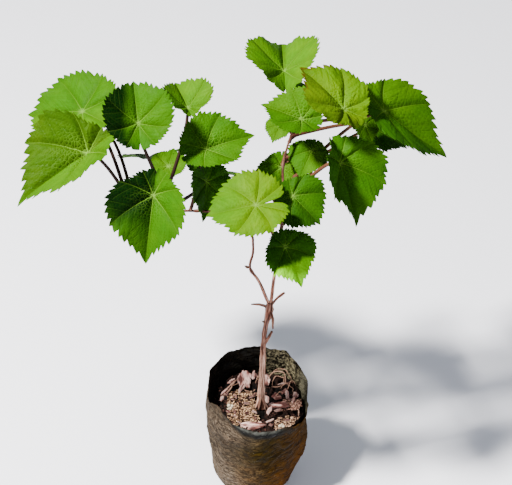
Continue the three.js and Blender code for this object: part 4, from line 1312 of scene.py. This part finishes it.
def flake_part(place, lift, size, curl, turn, seed, tone, columns=FLAKE_COLUMNS, rows=FLAKE_ROWS,
               thickness=FLAKE_THICKNESS):
    """A curved plate of bark with a ragged outline, ridged along its length and layered at its edge, with
    painted shade in its ridge valleys, along its edge and on its underside.
    """
    length, width = size
    angle = round_angles(columns)
    level, upright = np.cos(angle), np.sin(angle)
    frayed = 0.09 * noise(level * 5 + seed, upright * 5) + 0.06 * noise(level * 13, upright * 13 + seed)
    reach = shard_outline(angle, seed) * (1 + frayed)
    share = np.linspace(0.06, 1, rows)[:, None]
    x, y = length * reach * level * share, width * reach * upright * share
    ridges = 0.24 * noise(x / 9 + seed, y / 2.2) + 0.08 * noise(x / 2.4, y / 0.9 + seed)
    ridges += 0.15 * noise(x / 7 + seed, y / 7, 3.0)
    edge = np.sqrt(np.clip(1 - share ** 10, 0, 1))
    streak = 0.5 + 0.75 * noise(x / 9 + seed, y / 1.7)
    pink, tan, dark = FLAKE_COLOURS
    upper = blend(pink, tan, np.clip(streak + 0.3 * noise(x / 3, y / 3, seed), 0, 1))
    # Darker in the ridge valleys and along the edge: painted shade; the tone darkens the whole flake.
    upper = blend(upper, dark, 0.85 * smooth(-ridges, 0.06, 0.2))
    upper = blend(upper, dark, np.maximum(tone, 0.7 * smooth(share, 0.92, 1)) + 0 * x)
    # The underside darkened: painted shade.
    lower = blend(upper, dark, 0.85 + 0 * x)
    turns = np.radians(turn)
    middle = np.array([*place, soil_height(*place) + lift])
    cell = 1.3 * max(length, width)
    faces = []
    for under, shade, hub_shade, ridged in ((0, upper, tan, 1), (1, lower, dark, 0.5)):
        half = under + 0.5
        z = curl * y * y / width + thickness * edge * ((0.5 - under) + ridged * ridges)
        spots = turned(np.stack([x, y, z], axis=-1), *turns) + middle
        hub = turned(np.array([0, 0, z[0].mean()]), *turns) + middle
        maps = {
            "grain": sheet(beside(x / MAP_UNIT), beside(y / MAP_UNIT), (0, 0)),
            "OFBake": sheet(beside((x / cell + half) / 2), beside(y / cell + 0.5), (half / 2, 0.5)),
        }
        faces.append(shell(spots, with_alpha(shade, 1.0), maps, (hub, (*hub_shade, 1.0)), inward=not under))
    return gather(faces)


def chip_parts():
    """Small chips of bark strewn over the mix, and splinters that stand up from it or lie on it."""
    generator = np.random.default_rng(CHIP_SEED)
    parts = []
    while len(parts) < CHIP_COUNT:
        place = generator.uniform(-CHIP_AREA, CHIP_AREA, 2)
        length = generator.uniform(*CHIP_LENGTHS)
        turn = (*generator.uniform(-CHIP_LEAN, CHIP_LEAN, 2), generator.uniform(0, 360))
        seed = float(generator.integers(100, 900))
        if from_trunk(*place) < CHIP_CLEAR_OF_TRUNK or math.hypot(*place) + length / 2 > CHIP_LIMIT:
            continue
        size = (length, length * generator.uniform(0.35, 0.6))
        if hollow_share(*place) <= CHIP_CLEAR_OF_HOLLOWS:
            tone = 0.25 + 0.65 * chance(seed)
            parts.append(flake_part(place, CHIP_LIFT, size, 0, turn, seed, tone, *CHIP_MESH))
    for place, lift, size, turn, tone in SPLINTERS:
        parts.append(flake_part(place, lift, size, 0, turn, 7.0 * place[0] + place[1], tone, *SPLINTER_MESH))
    return parts


# Dried fibres on the mix: half width, and the places that each runs through with heights over the mix
FIBRES = [
    (0.55, [(13, 26, 3), (14, 32, 9), (20, 36, 12), (27, 34, 9), (29, 28, 4), (23, 23, 2), (16, 24, 2)]),
    (0.4, [(16, 25, 3), (17, 30, 7), (22, 33, 9), (27, 31, 6), (26, 26, 2)]),
    (0.5, [(24, 21, 2), (30, 25, 6), (36, 21, 4), (38, 15, 1)]),
    (0.9, [(-20, 31, 6), (-24, 27, 5), (-29, 22, 4), (-38, 15, 1)]),
    (0.6, [(-18, 28, 3), (-24, 24, 4), (-30, 18, 3), (-35, 15, 1)]),
    (0.5, [(-14, 20, 2), (-10, 17, 3), (-5, 17, 3), (-1, 21, 1)]),
    (0.5, [(34, 4, 2), (39, -2, 3), (43, -8, 2), (43, -15, 1)]),
    (0.4, [(12, 33, 4), (20, 40, 9), (29, 38, 9), (37, 30, 3)]),
    (0.4, [(31, 19, 2), (35, 27, 7), (40, 24, 3)]),
    (0.4, [(18, 12, 1), (24, 15, 4), (30, 13, 1)]),
    (0.4, [(-2, 27, 3), (2, 33, 8), (8, 36, 5)]),
]
FIBRE_THICKNESS = 0.24
FIBRE_WOBBLE = 1.1
FIBRE_STEPS = 40
FIBRE_SIDES = 10
FIBRE_COLOURS = ((0.02, 0.007, 0.005), (0.34, 0.2, 0.14))


def fibre_part(radius, route, seed):
    line = curve_points([(x, y, soil_height(x, y) + lift) for x, y, lift in route], FIBRE_STEPS)
    share = np.linspace(0, 1, FIBRE_STEPS)[:, None]
    wobble = np.concatenate([noise(share * 8 + 5 * axis, seed * 1.7) for axis in range(3)], axis=1)
    taper = np.sqrt(np.clip(np.minimum(share, 1 - share) / 0.15, 0.04, 1))
    taper = taper * (1 + 0.5 * noise(share * 9, seed * 1.0))
    streak = 0.5 + 0.5 * noise(share * 6, np.arange(FIBRE_SIDES) * 0.8 + seed)
    shade = blend(*FIBRE_COLOURS, streak)
    return tube(line + FIBRE_WOBBLE * wobble, radius * taper, shade, FIBRE_THICKNESS * taper)


# Put the plant together
leaf_finish = leaf_material()
stalk_finish = bark_material("leaf_stalk", 0.6, (1.0, 0.15, 1.0), depth=0.0001, flecked=0.0, lined=0.3)
bark_finish = bark_material("vine_bark", 0.72, (1.0, 0.08, 1.0), depth=0.0009, flecked=0.45, lined=0.9)
shoot_finish = bark_material("shoot_bark", 0.6, (1.0, 0.14, 1.0), depth=0.0004, flecked=0.15, lined=0.85)
chip_finish = bark_material("bark_chip", 0.8, (0.3, 1.0, 1.0), depth=0.0009, flecked=0.2, lined=0.6)
crumb_finish = crumb_material("mix_grains", scale=900.0, depth=0.0004)
soil_finish = crumb_material("mix_ground", scale=700.0, depth=0.0008)

stalks = {side: [] for side in STALK_COLOURS}
held = {side: [] for side in STALK_COLOURS}
for mass_index, (mass_name, (side_name, stem, leaves)) in enumerate(MASSES.items()):
    mass_seed = mass_index * MASS_SEED_STEP
    stem_line = curve_points(stem, STEM_STEPS + 1)
    stalks[side_name].append(mass_stem_part(stem, side_name, mass_seed))
    held[side_name].append(mass_name)
    blades = []
    for leaf_index, leaf in enumerate(leaves):
        place = LAST_LEAF - LEAF_SPREAD * leaf_index / max(1, len(leaves) - 1)
        root = stem_line[round(place * STEM_STEPS)]
        stalks[side_name].append(stalk_part(leaf, root, side_name, mass_seed + leaf_index))
        blades.append(blade_part(leaf, mass_seed + leaf_index))
    piece("blades" + mass_name.removeprefix("leaves"), blades, leaf_finish, [mass_name])
for side_name, parts in stalks.items():
    piece("leaf_stalks_" + side_name, parts, stalk_finish, held[side_name])

woody = ["trunk", "lower_spur", "left_stub", "right_stub", "hanging_stub"]
trunk_parts = [limb_part(name, OLD_BARK, 3.0 * index) for index, name in enumerate(woody)]
trunk_parts += [strip_part(strip, float(index)) for index, strip in enumerate(STRIPS)]
piece("bark_trunk", trunk_parts, bark_finish, woody)

shoots = ["left_shoot_lower", "left_shoot_upper", "right_shoot_lower", "right_shoot_upper"]
shoot_parts = [limb_part(name, YOUNG_BARK, 20.0 + index) for index, name in enumerate(shoots)]
shoot_parts += [bud_part(bud, float(index)) for index, bud in enumerate(BUDS)]
piece("bark_shoots", shoot_parts, shoot_finish, shoots)

piece("film_bag", [bag_part()], film_material(), ["nursery_bag"])
piece("mix_ground", [soil_part()], soil_finish, ["potting_mix"])
piece("mix_grains", grain_parts(), crumb_finish, [])
flake_parts = [flake_part(*flake) for flake in FLAKES.values()]
piece("bark_flakes", flake_parts, chip_finish, list(FLAKES))
piece("bark_chips", chip_parts(), chip_finish, [])
fibre_parts = [fibre_part(*fibre, index) for index, fibre in enumerate(FIBRES)]
piece("mix_fibres", fibre_parts, chip_finish, [])

# Floor, light and camera
FLOOR_REACH = 6
FLOOR_COLOUR = (0.7605245, 0.7758222, 0.838799, 1.0)
floor_corners = [(x * FLOOR_REACH, y * FLOOR_REACH, 0) for x, y in ((-1, -1), (1, -1), (1, 1), (-1, 1))]
floor_mesh = bpy.data.meshes.new("floor")
floor_mesh.from_pydata(floor_corners, [], [(0, 1, 2, 3)])
floor = bpy.data.objects.new("floor", floor_mesh)
shown_objects.link(floor)
floor_paint = Recipe("floor_paint")
floor_shell = floor_paint.add("ShaderNodeBsdfPrincipled", {"Base Color": FLOOR_COLOUR, "Roughness": 0.9})
floor_mesh.materials.append(floor_paint.finish(floor_shell.outputs["BSDF"]))

world = bpy.data.worlds.new("soft_sky")
bpy.context.scene.world = world
world.use_nodes = True
sky = world.node_tree.nodes["Background"].inputs
sky["Color"].default_value = (0.86, 0.9, 1.0, 1.0)
sky["Strength"].default_value = 0.5

CROWN_MIDDLE = np.array([0.0, 0.02, 0.31])


def area_light(name, direction, distance, size, energy, tint):
    """A square light looking at the middle of the crown from a direction."""
    data = bpy.data.lights.new(name, "AREA")
    data.size = size
    data.energy = energy
    data.color = tint
    lamp = bpy.data.objects.new(name, data)
    lamp.location = CROWN_MIDDLE + np.array(direction) / np.linalg.norm(direction) * distance
    aim = bpy.data.objects.new(name + "_aim", None)
    aim.location = CROWN_MIDDLE
    shown_objects.link(lamp)
    shown_objects.link(aim)
    track = lamp.constraints.new("TRACK_TO")
    track.target = aim
    track.track_axis = "TRACK_NEGATIVE_Z"
    track.up_axis = "UP_Y"


area_light("key", (-0.53, -0.23, 0.82), distance=2.2, size=0.26, energy=300, tint=(1.0, 0.97, 0.92))
area_light("fill", (0.6, -0.8, 0.5), distance=2.6, size=1.6, energy=16, tint=(0.92, 0.95, 1.0))

CAMERA_PLACE = (-0.00105, -1.96783, 1.72643)
CAMERA_TILT = 54
CAMERA_SENSOR = 36
CAMERA_LENS = 175.8
camera_data = bpy.data.cameras.new("camera")
camera_data.sensor_width = CAMERA_SENSOR
camera_data.lens = CAMERA_LENS
camera = bpy.data.objects.new("camera", camera_data)
camera.location = CAMERA_PLACE
camera.rotation_euler = (math.radians(CAMERA_TILT), 0, 0)
shown_objects.link(camera)
bpy.context.scene.camera = camera

bpy.context.view_layer.update()
